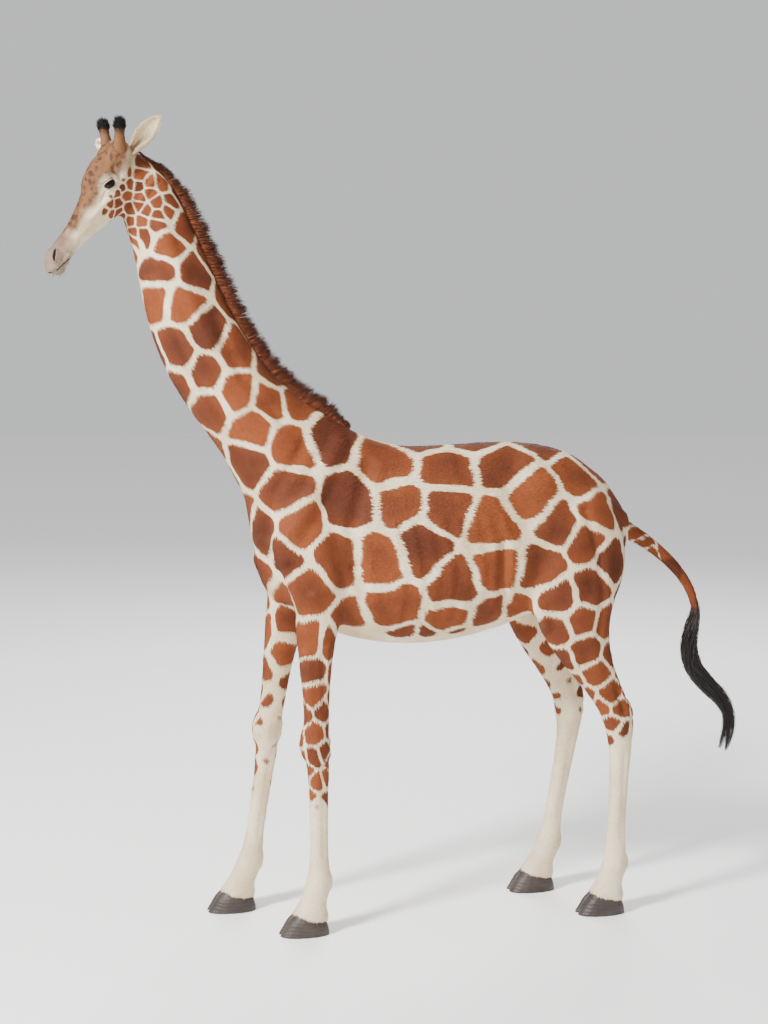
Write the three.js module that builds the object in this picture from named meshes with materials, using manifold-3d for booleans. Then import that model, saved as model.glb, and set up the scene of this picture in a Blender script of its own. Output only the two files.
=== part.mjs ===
// A reticulated giraffe: a life-size standing model of a grown cow giraffe, parted where its body parts meet.
// Millimetres, +Z up. It faces -Y, its left side is at +X, and its hooves stand on z = 0.

import * as THREE from "three";
import { LoftGeometry } from "three/addons/geometries/LoftGeometry.js";
import { mergeVertices } from "three/addons/utils/BufferGeometryUtils.js";
import Module from "manifold-3d";

const wasm = await Module();
wasm.setup();

// ---- Driving dimensions ----

const GAP = 0.3; // left between neighbouring pieces

const POLL = { y: -1495, z: 3930 }; // where the head frame sits, inside the back of the skull
const HEAD_PITCH = 44; // degrees that the face points down
const HEAD_TURN = 22; // degrees that the face turns to its left
const HEAD_LENGTH = 716; // back of the skull to the lips

const EYE = { ahead: 214, up: 12, out: 97, radius: 26 };
const OSSICONE = { ahead: 82, up: 26, out: 46, length: 212, lean: 38, splay: 12 };
const EAR = { ahead: -2, up: 22, out: 74, length: 225, width: 100, wall: 7 };
// Which way each ear points, ahead, up and outwards: the left one is pricked back, the right one turned aside.
const EAR_POINTS = { left: [-0.72, 0.32, 0.62], right: [-0.1, 0.2, 0.97] };

const MANE = { height: 92, thickness: 34 };

const HOOF = { length: 262, width: 186, front: 120, heel: 74, cleft: 6 };
const FORE = { y: -618, stride: { left: 15, right: -300 }, pivot: 2150 };
const HIND = { y: 795, stride: { left: 10, right: -240 }, pivot: 2150 };

const COLOURS = {
  coat: 0x8a4b25,
  mane: 0x6b3a1e,
  tuft: 0x17120f,
  ossicone: 0x5b3a22,
  eye: 0x1c100a,
  hoof: 0x2f2823,
};

// Sections of the trunk and neck, from rump to head: the back line, the belly or throat line, the half width,
// how far down the section is widest, and how square its upper and lower halves are (2 is an ellipse).
const TRUNK = [
  { backY: 1108, backZ: 2045, bellyY: 1102, bellyZ: 1900, wide: 45, level: 0.5, crest: 2, keel: 2 },
  { backY: 1078, backZ: 2135, bellyY: 1030, bellyZ: 1790, wide: 145, level: 0.5, crest: 1.9, keel: 2 },
  { backY: 975, backZ: 2285, bellyY: 925, bellyZ: 1700, wide: 216, level: 0.48, crest: 1.8, keel: 2 },
  { backY: 820, backZ: 2405, bellyY: 785, bellyZ: 1632, wide: 258, level: 0.46, crest: 1.75, keel: 2 },
  { backY: 610, backZ: 2474, bellyY: 605, bellyZ: 1575, wide: 286, level: 0.48, crest: 1.75, keel: 2.1 },
  { backY: 400, backZ: 2488, bellyY: 400, bellyZ: 1508, wide: 312, level: 0.53, crest: 1.8, keel: 2.2 },
  { backY: 150, backZ: 2482, bellyY: 150, bellyZ: 1452, wide: 338, level: 0.57, crest: 1.85, keel: 2.2 },
  { backY: -85, backZ: 2478, bellyY: -120, bellyZ: 1440, wide: 342, level: 0.58, crest: 1.8, keel: 2.2 },
  { backY: -260, backZ: 2516, bellyY: -390, bellyZ: 1482, wide: 312, level: 0.58, crest: 1.65, keel: 2.1 },
  { backY: -390, backZ: 2578, bellyY: -640, bellyZ: 1592, wide: 272, level: 0.56, crest: 1.55, keel: 2 },
  { backY: -512, backZ: 2650, bellyY: -815, bellyZ: 1762, wide: 244, level: 0.54, crest: 1.55, keel: 2 },
  { backY: -625, backZ: 2718, bellyY: -897, bellyZ: 1995, wide: 212, level: 0.52, crest: 1.6, keel: 2 },
];
const NECK = [
  { backY: -705, backZ: 2782, bellyY: -935, bellyZ: 2220, wide: 190, level: 0.52, crest: 1.65, keel: 2 },
  { backY: -790, backZ: 2868, bellyY: -1040, bellyZ: 2430, wide: 168, level: 0.52, crest: 1.65, keel: 2 },
  { backY: -885, backZ: 2990, bellyY: -1178, bellyZ: 2622, wide: 149, level: 0.52, crest: 1.7, keel: 2 },
  { backY: -975, backZ: 3140, bellyY: -1305, bellyZ: 2822, wide: 135, level: 0.53, crest: 1.7, keel: 2 },
  { backY: -1060, backZ: 3320, bellyY: -1395, bellyZ: 3040, wide: 125, level: 0.54, crest: 1.7, keel: 2 },
  { backY: -1145, backZ: 3510, bellyY: -1450, bellyZ: 3265, wide: 115, level: 0.54, crest: 1.7, keel: 2 },
  { backY: -1235, backZ: 3700, bellyY: -1490, bellyZ: 3490, wide: 103, level: 0.52, crest: 1.8, keel: 2 },
  { backY: -1340, backZ: 3865, bellyY: -1555, bellyZ: 3690, wide: 90, level: 0.5, crest: 1.9, keel: 2 },
  { backY: -1450, backZ: 3955, bellyY: -1605, bellyZ: 3835, wide: 50, level: 0.5, crest: 2, keel: 2 },
];

// Sections of the head along its own axis, from the nape to the lips.
const HEAD = [
  { ahead: -44, top: 22, bottom: -92, wide: 34, level: 0.5, crest: 2, keel: 2 },
  { ahead: -20, top: 56, bottom: -150, wide: 64, level: 0.42, crest: 2, keel: 1.8 },
  { ahead: 30, top: 82, bottom: -190, wide: 82, level: 0.38, crest: 2.1, keel: 1.7 },
  { ahead: 100, top: 98, bottom: -203, wide: 94, level: 0.36, crest: 2.3, keel: 1.7 },
  { ahead: 160, top: 96, bottom: -194, wide: 102, level: 0.34, crest: 2.4, keel: 1.6 },
  { ahead: 215, top: 82, bottom: -180, wide: 102, level: 0.34, crest: 2.5, keel: 1.6 },
  { ahead: 280, top: 58, bottom: -163, wide: 86, level: 0.38, crest: 2.4, keel: 1.7 },
  { ahead: 355, top: 30, bottom: -148, wide: 68, level: 0.44, crest: 2.3, keel: 1.9 },
  { ahead: 440, top: 4, bottom: -135, wide: 56, level: 0.5, crest: 2.2, keel: 2 },
  { ahead: 525, top: -14, bottom: -129, wide: 52, level: 0.5, crest: 2.2, keel: 2.1 },
  { ahead: 595, top: -20, bottom: -133, wide: 57, level: 0.48, crest: 2.3, keel: 2.2 },
  { ahead: 650, top: -34, bottom: -138, wide: 59, level: 0.48, crest: 2.4, keel: 2.2 },
  { ahead: 692, top: -58, bottom: -130, wide: 50, level: 0.5, crest: 2.3, keel: 2.1 },
  { ahead: HEAD_LENGTH, top: -82, bottom: -112, wide: 24, level: 0.5, crest: 2, keel: 2 },
];
// The brow that carries each eye, as a rounded swelling on the side of the head.
const BROW = { ahead: 204, up: 18, out: 66, long: 78, high: 54, deep: 48 };

// Sections of a leg from its top to inside the hoof: height, place along the body and out from the middle,
// then how far the leg reaches ahead and behind that line, and its half width.
const FORELEG = [
  { z: 2430, y: 150, x: 118, ahead: 40, behind: 40, wide: 30 },
  { z: 2300, y: 80, x: 152, ahead: 120, behind: 120, wide: 62 },
  { z: 2050, y: -40, x: 190, ahead: 172, behind: 195, wide: 92 },
  { z: 1860, y: -10, x: 196, ahead: 158, behind: 195, wide: 97 },
  { z: 1700, y: 18, x: 197, ahead: 128, behind: 152, wide: 90 },
  { z: 1530, y: 8, x: 201, ahead: 106, behind: 108, wide: 79 },
  { z: 1300, y: 2, x: 209, ahead: 79, behind: 79, wide: 66 },
  { z: 1085, y: 0, x: 215, ahead: 66, behind: 69, wide: 62 },
  { z: 975, y: -8, x: 219, ahead: 79, behind: 72, wide: 74 },
  { z: 870, y: 0, x: 222, ahead: 58, behind: 66, wide: 59 },
  { z: 620, y: 2, x: 229, ahead: 46, behind: 56, wide: 48 },
  { z: 350, y: 0, x: 236, ahead: 50, behind: 60, wide: 53 },
  { z: 262, y: -4, x: 239, ahead: 62, behind: 74, wide: 68 },
  { z: 185, y: -30, x: 241, ahead: 61, behind: 72, wide: 67 },
  { z: 112, y: -58, x: 243, ahead: 84, behind: 101, wide: 86 },
  { z: 40, y: -70, x: 244, ahead: 97, behind: 116, wide: 92 },
];
const HINDLEG = [
  { z: 2270, y: 0, x: 128, ahead: 80, behind: 80, wide: 40 },
  { z: 2140, y: -10, x: 165, ahead: 200, behind: 190, wide: 92 },
  { z: 1920, y: -10, x: 186, ahead: 268, behind: 262, wide: 116 },
  { z: 1670, y: -45, x: 197, ahead: 238, behind: 240, wide: 114 },
  { z: 1460, y: -5, x: 203, ahead: 165, behind: 172, wide: 90 },
  { z: 1270, y: 80, x: 208, ahead: 103, behind: 114, wide: 66 },
  { z: 1110, y: 160, x: 212, ahead: 74, behind: 98, wide: 56 },
  { z: 1000, y: 204, x: 214, ahead: 72, behind: 90, wide: 64 },
  { z: 885, y: 212, x: 217, ahead: 61, behind: 69, wide: 57 },
  { z: 620, y: 200, x: 224, ahead: 48, behind: 56, wide: 48 },
  { z: 350, y: 186, x: 232, ahead: 51, behind: 60, wide: 53 },
  { z: 262, y: 182, x: 235, ahead: 63, behind: 74, wide: 67 },
  { z: 185, y: 154, x: 237, ahead: 60, behind: 71, wide: 66 },
  { z: 112, y: 124, x: 239, ahead: 84, behind: 101, wide: 86 },
  { z: 40, y: 112, x: 240, ahead: 97, behind: 116, wide: 92 },
];
const LEG_SQUARE = 2.2; // how square a leg's sections are

// The tail: a fleshy dock, then a long lock of hair that swings out behind.
const DOCK = [
  { y: 1010, z: 2052, x: 0, r: 66 },
  { y: 1128, z: 1990, x: 0, r: 49 },
  { y: 1245, z: 1915, x: 3, r: 39 },
  { y: 1362, z: 1815, x: 8, r: 33 },
  { y: 1455, z: 1695, x: 15, r: 28 },
  { y: 1500, z: 1560, x: 22, r: 24 },
  { y: 1480, z: 1440, x: 28, r: 19 },
];
const LOCK = [
  { y: 1500, z: 1560, x: 23, r: 32 },
  { y: 1476, z: 1450, x: 29, r: 46 },
  { y: 1462, z: 1360, x: 36, r: 54 },
  { y: 1486, z: 1255, x: 44, r: 57 },
  { y: 1560, z: 1160, x: 52, r: 55 },
  { y: 1642, z: 1080, x: 58, r: 50 },
  { y: 1690, z: 980, x: 62, r: 39 },
  { y: 1680, z: 880, x: 64, r: 24 },
  { y: 1652, z: 790, x: 65, r: 8 },
];

// ---- Helpers ----

const radians = THREE.MathUtils.degToRad;

// Stations closed up to about `spacing` apart along a smooth line through the given ones.
function smooth(stations, place, spacing) {
  const at = [0];
  for (let i = 1; i < stations.length; i++) {
    at.push(at[i - 1] + place(stations[i]).distanceTo(place(stations[i - 1])));
  }
  const slope = (i, key) => {
    const rise = (a, b) => (stations[b][key] - stations[a][key]) / (at[b] - at[a]);
    if (i === 0) return rise(0, 1);
    if (i === stations.length - 1) return rise(i - 1, i);
    const before = at[i] - at[i - 1];
    const after = at[i + 1] - at[i];
    return (rise(i - 1, i) * after + rise(i, i + 1) * before) / (before + after);
  };
  const made = [];
  for (let i = 0; i + 1 < stations.length; i++) {
    const span = at[i + 1] - at[i];
    const steps = Math.max(1, Math.round(span / spacing));
    for (let k = 0; k < steps; k++) {
      const t = k / steps;
      const station = {};
      for (const key of Object.keys(stations[i])) {
        station[key] =
          (2 * t ** 3 - 3 * t ** 2 + 1) * stations[i][key] +
          (t ** 3 - 2 * t ** 2 + t) * span * slope(i, key) +
          (3 * t ** 2 - 2 * t ** 3) * stations[i + 1][key] +
          (t ** 3 - t ** 2) * span * slope(i + 1, key);
      }
      made.push(station);
    }
  }
  made.push({ ...stations.at(-1) });
  return made;
}

// Which way a line of stations runs at one of them.
function tangentAt(line, i, place) {
  const next = place(line[Math.min(i + 1, line.length - 1)]);
  return next.sub(place(line[Math.max(i - 1, 0)])).normalize();
}

// A closed ring about a centre: `out` is its half width, `up` and `down` its two other reaches.
function ring(centre, side, rise, { out, up, down, crest, keel }, sides) {
  const points = [];
  for (let i = 0; i < sides; i++) {
    const angle = (2 * Math.PI * i) / sides;
    const [c, s] = [Math.cos(angle), Math.sin(angle)];
    const power = 2 / (s >= 0 ? crest : keel);
    const across = Math.sign(c) * Math.abs(c) ** power * out;
    const along = Math.sign(s) * Math.abs(s) ** power * (s >= 0 ? up : down);
    points.push(centre.clone().addScaledVector(side, across).addScaledVector(rise, along));
  }
  return points;
}

// A loft's solid. Its rings have to run counter-clockwise as seen from the end it leads to.
function loft(sections) {
  const middle = (points) => {
    const sum = points.reduce((total, p) => total.add(p), new THREE.Vector3());
    return sum.divideScalar(points.length);
  };
  const start = middle(sections[0]);
  const turn = new THREE.Vector3();
  sections[0].forEach((p, i, points) => {
    const next = points[(i + 1) % points.length].clone().sub(start);
    turn.add(p.clone().sub(start).cross(next));
  });
  const rightWay = turn.dot(middle(sections[1]).sub(start)) > 0;
  const rings = rightWay ? sections : sections.map((points) => [...points].reverse());
  return solidOf(new LoftGeometry(rings, { capStart: true, capEnd: true }));
}

function solidOf(geometry) {
  const bare = geometry.index ? geometry.toNonIndexed() : geometry.clone();
  bare.deleteAttribute("normal");
  bare.deleteAttribute("uv");
  const merged = mergeVertices(bare, 1e-3);
  return new wasm.Manifold(
    new wasm.Mesh({
      numProp: 3,
      vertProperties: merged.attributes.position.array,
      triVerts: new Uint32Array(merged.index.array),
    }),
  );
}

// The largest body of a solid, which drops the slivers that a cut can leave.
const largest = (solid) => solid.decompose().reduce((a, b) => (b.volume() > a.volume() ? b : a));

const turned = (geometry, matrix) => solidOf(geometry.clone().applyMatrix4(matrix));

function ball({ x, y, z }, reach, sides = 11) {
  const geometry = new THREE.SphereGeometry(1, sides, Math.round(sides * 0.7));
  return geometry.scale(reach.x, reach.y, reach.z).translate(x, y, z);
}

function meshOf(name, solid, colour, roughness, frame = null) {
  const { vertProperties, triVerts } = solid.getMesh();
  const geometry = new THREE.BufferGeometry();
  geometry.setAttribute("position", new THREE.BufferAttribute(vertProperties, 3));
  geometry.setIndex(new THREE.BufferAttribute(triVerts, 1));
  if (frame) geometry.applyMatrix4(frame.clone().invert());
  geometry.computeVertexNormals();
  const material = new THREE.MeshStandardMaterial({ color: colour, roughness, metalness: 0 });
  const mesh = new THREE.Mesh(geometry, material);
  mesh.name = name;
  return mesh;
}

// ---- Trunk and neck ----

const BODY = [...TRUNK, ...NECK];
const BODY_SIDES = 20;
const bodyMiddle = (s) => new THREE.Vector3(0, (s.backY + s.bellyY) / 2, (s.backZ + s.bellyZ) / 2);

function bodySections(grow = 0) {
  const side = new THREE.Vector3(1, 0, 0);
  return smooth(BODY, bodyMiddle, 120).map((s, i) => {
    const back = new THREE.Vector3(0, s.backY, s.backZ);
    const belly = new THREE.Vector3(0, s.bellyY, s.bellyZ);
    const depth = back.distanceTo(belly);
    const rise = back.clone().sub(belly).normalize();
    const rumpward = rise.clone().cross(side);
    const centre = back.clone().addScaledVector(rise, -depth * s.level);
    centre.addScaledVector(rumpward, i === 0 ? grow : 0);
    const reach = { out: s.wide + grow, up: depth * s.level + grow, down: depth * (1 - s.level) + grow };
    return ring(centre, side, rise, { ...reach, crest: s.crest, keel: s.keel }, BODY_SIDES);
  });
}

// ---- Head ----

const headFrame = new THREE.Group();
headFrame.position.set(0, POLL.y, POLL.z);
headFrame.rotation.set(radians(HEAD_PITCH), 0, radians(HEAD_TURN), "ZXY");
headFrame.updateMatrixWorld(true);
const headMatrix = headFrame.matrixWorld.clone();
const HEAD_SIDES = 18;

// A point of the head frame: `ahead` towards the lips, `up` to the crown, `out` to its left.
const inHead = (ahead, up, out) => new THREE.Vector3(out, -ahead, up);

function headSections(grow) {
  const middle = (s) => new THREE.Vector3(0, s.ahead, 0);
  return smooth(HEAD, middle, 46).map((s) => {
    const depth = s.top - s.bottom;
    const reach = { out: s.wide + grow, up: depth * s.level + grow, down: depth * (1 - s.level) + grow };
    const centre = inHead(s.ahead, s.top - depth * s.level, 0);
    const shape = { ...reach, crest: s.crest, keel: s.keel };
    const [side, rise] = [new THREE.Vector3(1, 0, 0), new THREE.Vector3(0, 0, 1)];
    const points = ring(centre, side, rise, shape, HEAD_SIDES);
    return points.map((p) => p.applyMatrix4(headMatrix));
  });
}

function skull(grow = 0) {
  const brow = (side) => {
    const at = inHead(BROW.ahead, BROW.up, BROW.out * side);
    return turned(ball(at, { x: BROW.deep + grow, y: BROW.long + grow, z: BROW.high + grow }), headMatrix);
  };
  return loft(headSections(grow)).add(brow(1)).add(brow(-1));
}

function eye(side, grow = 0) {
  const r = EYE.radius + grow;
  const geometry = ball(inHead(EYE.ahead, EYE.up, EYE.out * side), { x: r, y: r, z: r });
  return turned(geometry, headMatrix);
}

// A horn of bone under skin: a thick foot, a narrow shaft and a rounded knob.
function ossicone(side, grow = 0) {
  const foot = inHead(OSSICONE.ahead, OSSICONE.up, OSSICONE.out * side);
  const lean = radians(OSSICONE.lean);
  const splay = radians(OSSICONE.splay) * side;
  const rise = inHead(-Math.sin(lean), Math.cos(lean) * Math.cos(splay), Math.sin(splay)).normalize();
  const across = inHead(0, Math.cos(splay), 0).cross(rise).normalize();
  const ahead = rise.clone().cross(across);
  const profile = [
    [0, 50],
    [0.2, 44],
    [0.42, 29],
    [0.66, 22],
    [0.84, 24],
    [0.95, 20],
    [1, 9],
  ];
  const sections = profile.map(([share, radius]) => {
    const centre = foot.clone().addScaledVector(rise, share * OSSICONE.length);
    const long = radius * 1.12 + grow;
    const reach = { out: radius + grow, up: long, down: long, crest: 2, keel: 2 };
    return ring(centre, across, ahead, reach, 12).map((p) => p.applyMatrix4(headMatrix));
  });
  return loft(sections);
}

// A cupped leaf with its hollow facing forwards: each section is an arc with a wall's thickness.
function ear(name, side) {
  const root = inHead(EAR.ahead, EAR.up, EAR.out * side);
  const [ahead, up, out] = EAR_POINTS[name];
  const tipward = inHead(ahead, up, out * side).normalize();
  const facing = inHead(0.9, 0.42, 0).cross(tipward).cross(tipward).multiplyScalar(-1).normalize();
  const across = tipward.clone().cross(facing).multiplyScalar(side);
  const profile = [
    [-0.1, 0.3, 150],
    [0.06, 0.42, 140],
    [0.2, 0.7, 118],
    [0.4, 0.96, 96],
    [0.58, 1, 80],
    [0.76, 0.82, 66],
    [0.9, 0.48, 54],
    [1, 0.14, 40],
  ];
  const sections = profile.map(([share, breadth, wrap]) => {
    const half = (breadth * EAR.width) / 2;
    const open = radians(wrap);
    const radius = half / Math.sin(Math.min(open, Math.PI / 2));
    const centre = root.clone().addScaledVector(tipward, share * EAR.length);
    const arc = (r) =>
      Array.from({ length: 7 }, (_, i) => {
        const angle = open * (i / 3 - 1);
        const lift = radius * 0.35 - Math.cos(angle) * r;
        return centre
          .clone()
          .addScaledVector(across, Math.sin(angle) * r)
          .addScaledVector(facing, lift);
      });
    const wall = Math.min(EAR.wall, radius * 0.45);
    return [...arc(radius), ...arc(radius - wall).reverse()].map((p) => p.applyMatrix4(headMatrix));
  });
  return loft(sections);
}

// ---- Mane ----

function mane() {
  const ridge = smooth(BODY.slice(9, -1), bodyMiddle, 120);
  const last = ridge.length - 1;
  const sections = ridge.map((s, i) => {
    const back = new THREE.Vector3(0, s.backY, s.backZ);
    const rise = back.clone().sub(new THREE.Vector3(0, s.bellyY, s.bellyZ)).normalize();
    rise.add(new THREE.Vector3(0, 0.1, -0.06)).normalize();
    const share = i / last;
    const tall = MANE.height * Math.min(1, 0.12 + share * 6, 0.45 + (1 - share) * 6);
    const reach = { out: MANE.thickness / 2, up: tall, down: 40, crest: 1.7, keel: 2 };
    return ring(back, new THREE.Vector3(1, 0, 0), rise, reach, 8);
  });
  return loft(sections);
}

// ---- Legs ----

const LEG_SIDES = 12;

// How far a foot's stride carries a station, most at the ground and none at the pivot.
const strideAt = (z, stride, pivot) => stride * Math.max(0, 1 - z / pivot);

function leg(stations, { y, stride, pivot }, side, grow = 0) {
  const carried = stations.map((s) => ({ ...s, x: s.x * side, y: y + s.y + strideAt(s.z, stride, pivot) }));
  const place = (s) => new THREE.Vector3(s.x, s.y, s.z);
  const line = smooth(carried, place, 100);
  const sections = line.map((s, i) => {
    const tangent = tangentAt(line, i, place);
    const flat = s.z < 150 ? new THREE.Vector3(0, 0, -1) : tangent;
    const ahead = new THREE.Vector3(1, 0, 0).cross(flat).normalize();
    const across = ahead.clone().cross(flat).normalize();
    const reach = { out: s.wide + grow, up: s.behind + grow, down: s.ahead + grow };
    const centre = place(s).addScaledVector(tangent, i === 0 ? -grow : 0);
    return ring(centre, across, ahead, { ...reach, crest: LEG_SQUARE, keel: LEG_SQUARE }, LEG_SIDES);
  });
  return loft(sections);
}

// Everything above, or below, the sloping top of a hoof, for cutting.
function hoofCut(centreY, above) {
  const slope = Math.atan2(HOOF.front - HOOF.heel, HOOF.length * 0.68);
  const size = 6000;
  const box = new THREE.BoxGeometry(size, size, size).translate(0, 0, ((size + GAP) / 2) * (above ? 1 : -1));
  box.rotateX(-slope).translate(0, centreY + 20, (HOOF.front + HOOF.heel) / 2);
  return solidOf(box);
}

// One claw of a cloven hoof: flat on the inside, rounded outside, sloping back to the coronet.
function claw(centreX, centreY, side) {
  const levels = [0, 12, 55, 125];
  const sections = levels.map((z) => {
    const toe = -HOOF.length / 2 + 0.62 * z;
    const heel = HOOF.length / 2 - 0.06 * z;
    const width = (HOOF.width / 2 - HOOF.cleft / 2) * (1 - 0.0012 * z) * (z === 0 ? 0.97 : 1);
    const points = [];
    const steps = 8;
    for (let i = 0; i <= steps; i++) {
      const angle = Math.PI * (i / steps - 0.5);
      const x = HOOF.cleft / 2 + 0.16 * width + 0.84 * width * Math.cos(angle) ** 0.8;
      points.push([x, (toe + heel) / 2 + ((heel - toe) / 2) * Math.sin(angle)]);
    }
    for (const share of [0.9, -0.84]) {
      points.push([HOOF.cleft / 2, (toe + heel) / 2 + ((heel - toe) / 2) * share]);
    }
    return points.map(([x, y]) => new THREE.Vector3(centreX + x * side, centreY + y, z));
  });
  return loft(sections);
}

// ---- Tail ----

function hanging(stations, { squash = 1, grow = 0 } = {}) {
  const place = (s) => new THREE.Vector3(s.x, s.y, s.z);
  const line = smooth(stations, place, 85);
  return line.map((s, i) => {
    const tangent = tangentAt(line, i, place);
    const rise = new THREE.Vector3(1, 0, 0).cross(tangent).normalize();
    const across = rise.clone().cross(tangent);
    const centre = place(s).addScaledVector(tangent, i === line.length - 1 ? grow : 0);
    const r = s.r + grow;
    return ring(centre, across, rise, { out: r * squash, up: r, down: r, crest: 2, keel: 2 }, 10);
  });
}

// ---- Assembly ----

const giraffe = new THREE.Group();

const bodyLoft = loft(bodySections());
const bodyShell = loft(bodySections(GAP));
const skullShell = skull(GAP + 0.1);

// The legs stand in sockets in the trunk's sides, and carry the shoulder and thigh muscles.
const legs = [];
let trunkAndNeck = bodyLoft;
for (const [end, stations, stance] of [
  ["fore", FORELEG, FORE],
  ["hind", HINDLEG, HIND],
]) {
  for (const [name, side] of [
    ["left", 1],
    ["right", -1],
  ]) {
    const stand = { y: stance.y, stride: stance.stride[name], pivot: stance.pivot };
    const foot = stations.at(-2);
    const hoofX = foot.x * side;
    const hoofY = stance.y + foot.y + strideAt(foot.z, stand.stride, stand.pivot) - 22;
    const shank = leg(stations, stand, side).intersect(hoofCut(hoofY, true));
    trunkAndNeck = trunkAndNeck.subtract(leg(stations, stand, side, GAP));
    legs.push({ name: `${name}_${end}leg`, solid: largest(shank) });
    for (const [part, claws] of [
      ["outer", side],
      ["inner", -side],
    ]) {
      const hoof = claw(hoofX, hoofY, claws).intersect(hoofCut(hoofY, false));
      legs.push({ name: `${name}_${end}_${part}_hoof`, solid: largest(hoof), hoof: true });
    }
  }
}

// A slab on the plane through a station's back and belly points, reaching far ahead of it.
function aheadOf(station, shift) {
  const back = new THREE.Vector3(0, station.backY, station.backZ);
  const belly = new THREE.Vector3(0, station.bellyY, station.bellyZ);
  const rise = back.clone().sub(belly).normalize();
  const side = new THREE.Vector3(1, 0, 0);
  const ahead = side.clone().cross(rise);
  const size = 4000;
  const centre = back.add(belly).divideScalar(2).addScaledVector(ahead, size / 2 + shift);
  const matrix = new THREE.Matrix4().makeBasis(side, rise, ahead).setPosition(centre);
  return solidOf(new THREE.BoxGeometry(size, size, size).applyMatrix4(matrix));
}

const neckRoot = TRUNK.at(-1);
const throatLatch = NECK.at(-3);
const neckUp = trunkAndNeck.intersect(aheadOf(neckRoot, GAP / 2));
const trunk = largest(trunkAndNeck.subtract(aheadOf(neckRoot, -GAP / 2)));
const neckAndHead = neckUp.add(skull());
const neck = largest(neckAndHead.subtract(aheadOf(throatLatch, -GAP / 2)));
const skullEnd = neckAndHead.intersect(aheadOf(throatLatch, GAP / 2));
const head = largest(skullEnd.subtract(eye(1, GAP)).subtract(eye(-1, GAP)));

giraffe.add(meshOf("trunk", trunk, COLOURS.coat, 0.8));
giraffe.add(meshOf("neck", neck, COLOURS.coat, 0.8));
for (const { name, solid, hoof } of legs) {
  giraffe.add(meshOf(name, solid, hoof ? COLOURS.hoof : COLOURS.coat, hoof ? 0.5 : 0.8));
}

headFrame.add(meshOf("head", head, COLOURS.coat, 0.8, headMatrix));
for (const [name, side] of [
  ["left", 1],
  ["right", -1],
]) {
  const keptOff = (solid) => largest(solid.subtract(skullShell).subtract(bodyShell));
  headFrame.add(meshOf(`${name}_eye`, eye(side), COLOURS.eye, 0.1, headMatrix));
  const leaf = ear(name, side).subtract(ossicone(side, GAP));
  headFrame.add(meshOf(`${name}_ossicone`, keptOff(ossicone(side)), COLOURS.ossicone, 0.8, headMatrix));
  headFrame.add(meshOf(`${name}_ear`, keptOff(leaf), COLOURS.coat, 0.8, headMatrix));
}
giraffe.add(headFrame);

const crest = largest(mane().subtract(bodyShell).subtract(skullShell));
const dock = largest(loft(hanging(DOCK)).subtract(bodyShell));
const lock = largest(loft(hanging(LOCK, { squash: 0.85 })).subtract(loft(hanging(DOCK, { grow: GAP }))));
giraffe.add(meshOf("mane", crest, COLOURS.mane, 0.9));
giraffe.add(meshOf("tail", dock, COLOURS.coat, 0.8));
giraffe.add(meshOf("tail_tuft", lock, COLOURS.tuft, 0.7));

// The origin is on the ground under the middle of the whole.
const box = new THREE.Box3().setFromObject(giraffe, true);
giraffe.position.set(-(box.min.x + box.max.x) / 2, -(box.min.y + box.max.y) / 2, -box.min.z);

export default giraffe;
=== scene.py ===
"""A reticulated giraffe, life size: one skin over the body, a short patched coat, mane, tail and eyes."""

import math
from collections import namedtuple

import bmesh
import bpy
import numpy as np
from mathutils import Matrix, Vector
from mathutils.bvhtree import BVHTree
from mathutils.kdtree import KDTree


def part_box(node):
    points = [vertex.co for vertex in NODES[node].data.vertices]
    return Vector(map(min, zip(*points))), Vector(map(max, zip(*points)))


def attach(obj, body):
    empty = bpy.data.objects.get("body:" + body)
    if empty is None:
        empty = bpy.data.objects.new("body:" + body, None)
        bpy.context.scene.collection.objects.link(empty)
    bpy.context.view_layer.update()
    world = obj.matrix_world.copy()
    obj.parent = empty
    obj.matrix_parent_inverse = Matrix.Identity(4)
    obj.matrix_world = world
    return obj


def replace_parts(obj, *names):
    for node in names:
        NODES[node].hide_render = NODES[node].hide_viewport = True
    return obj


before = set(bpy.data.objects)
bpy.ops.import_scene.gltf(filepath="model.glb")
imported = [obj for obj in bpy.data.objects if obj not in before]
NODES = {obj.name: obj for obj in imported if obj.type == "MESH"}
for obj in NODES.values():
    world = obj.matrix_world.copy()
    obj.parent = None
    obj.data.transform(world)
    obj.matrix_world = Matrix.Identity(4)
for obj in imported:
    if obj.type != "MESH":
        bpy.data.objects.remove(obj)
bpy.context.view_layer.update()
SEED = 20
SIDES = {"left": 1, "right": -1}
LEGS = ("left_foreleg", "right_foreleg", "left_hindleg", "right_hindleg")
FLESH = ("trunk", "neck", "head", "tail", *LEGS)

# ---- Sizes, in metres ----

VOXEL = 0.0148  # of the skin's first net
COAT_DEPTH = {"trunk": 0.006, "neck": 0.0055, "head": 0.0025, "tail": 0.003, "leg": 0.004}
HAIR_LENGTH = {"trunk": 0.022, "neck": 0.0195, "head": 0.008, "tail": 0.015, "leg": 0.017}
IRONED = {"trunk": 1, "neck": 0.7, "head": 0.1, "tail": 0.25, "leg": 0.25}  # how far facets are smoothed away
HEAD_PITCH, HEAD_TURN = math.radians(44), math.radians(22)
EYE_RADIUS = 0.026
EYE_AHEAD, EYE_UP = 0.214, 0.012  # in the head's own frame
LID_HALF = math.radians(58)  # half the opening's length, seen from the eyeball's middle
LID_UP, LID_DOWN = math.radians(30), math.radians(26)
LID_TILT = 0.10  # the opening's slope, as a share of the angle forward
LID_DEPTH = 0.0024  # from the ball to the lids' outer face
LID_GAP = 0.0014  # the least room between ball and skin
HORN_FOOT = (0.082, 0.026, 0.046)  # ahead, up and out in the head's frame
HORN_LENGTH = 0.212
HORN_LEAN, HORN_SPLAY = math.radians(38), math.radians(12)
# A horn's radii by the share of its length.
HORN_RADII = ((0, 0.050), (0.2, 0.044), (0.42, 0.029), (0.66, 0.022), (0.84, 0.024), (1, 0.012))
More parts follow.
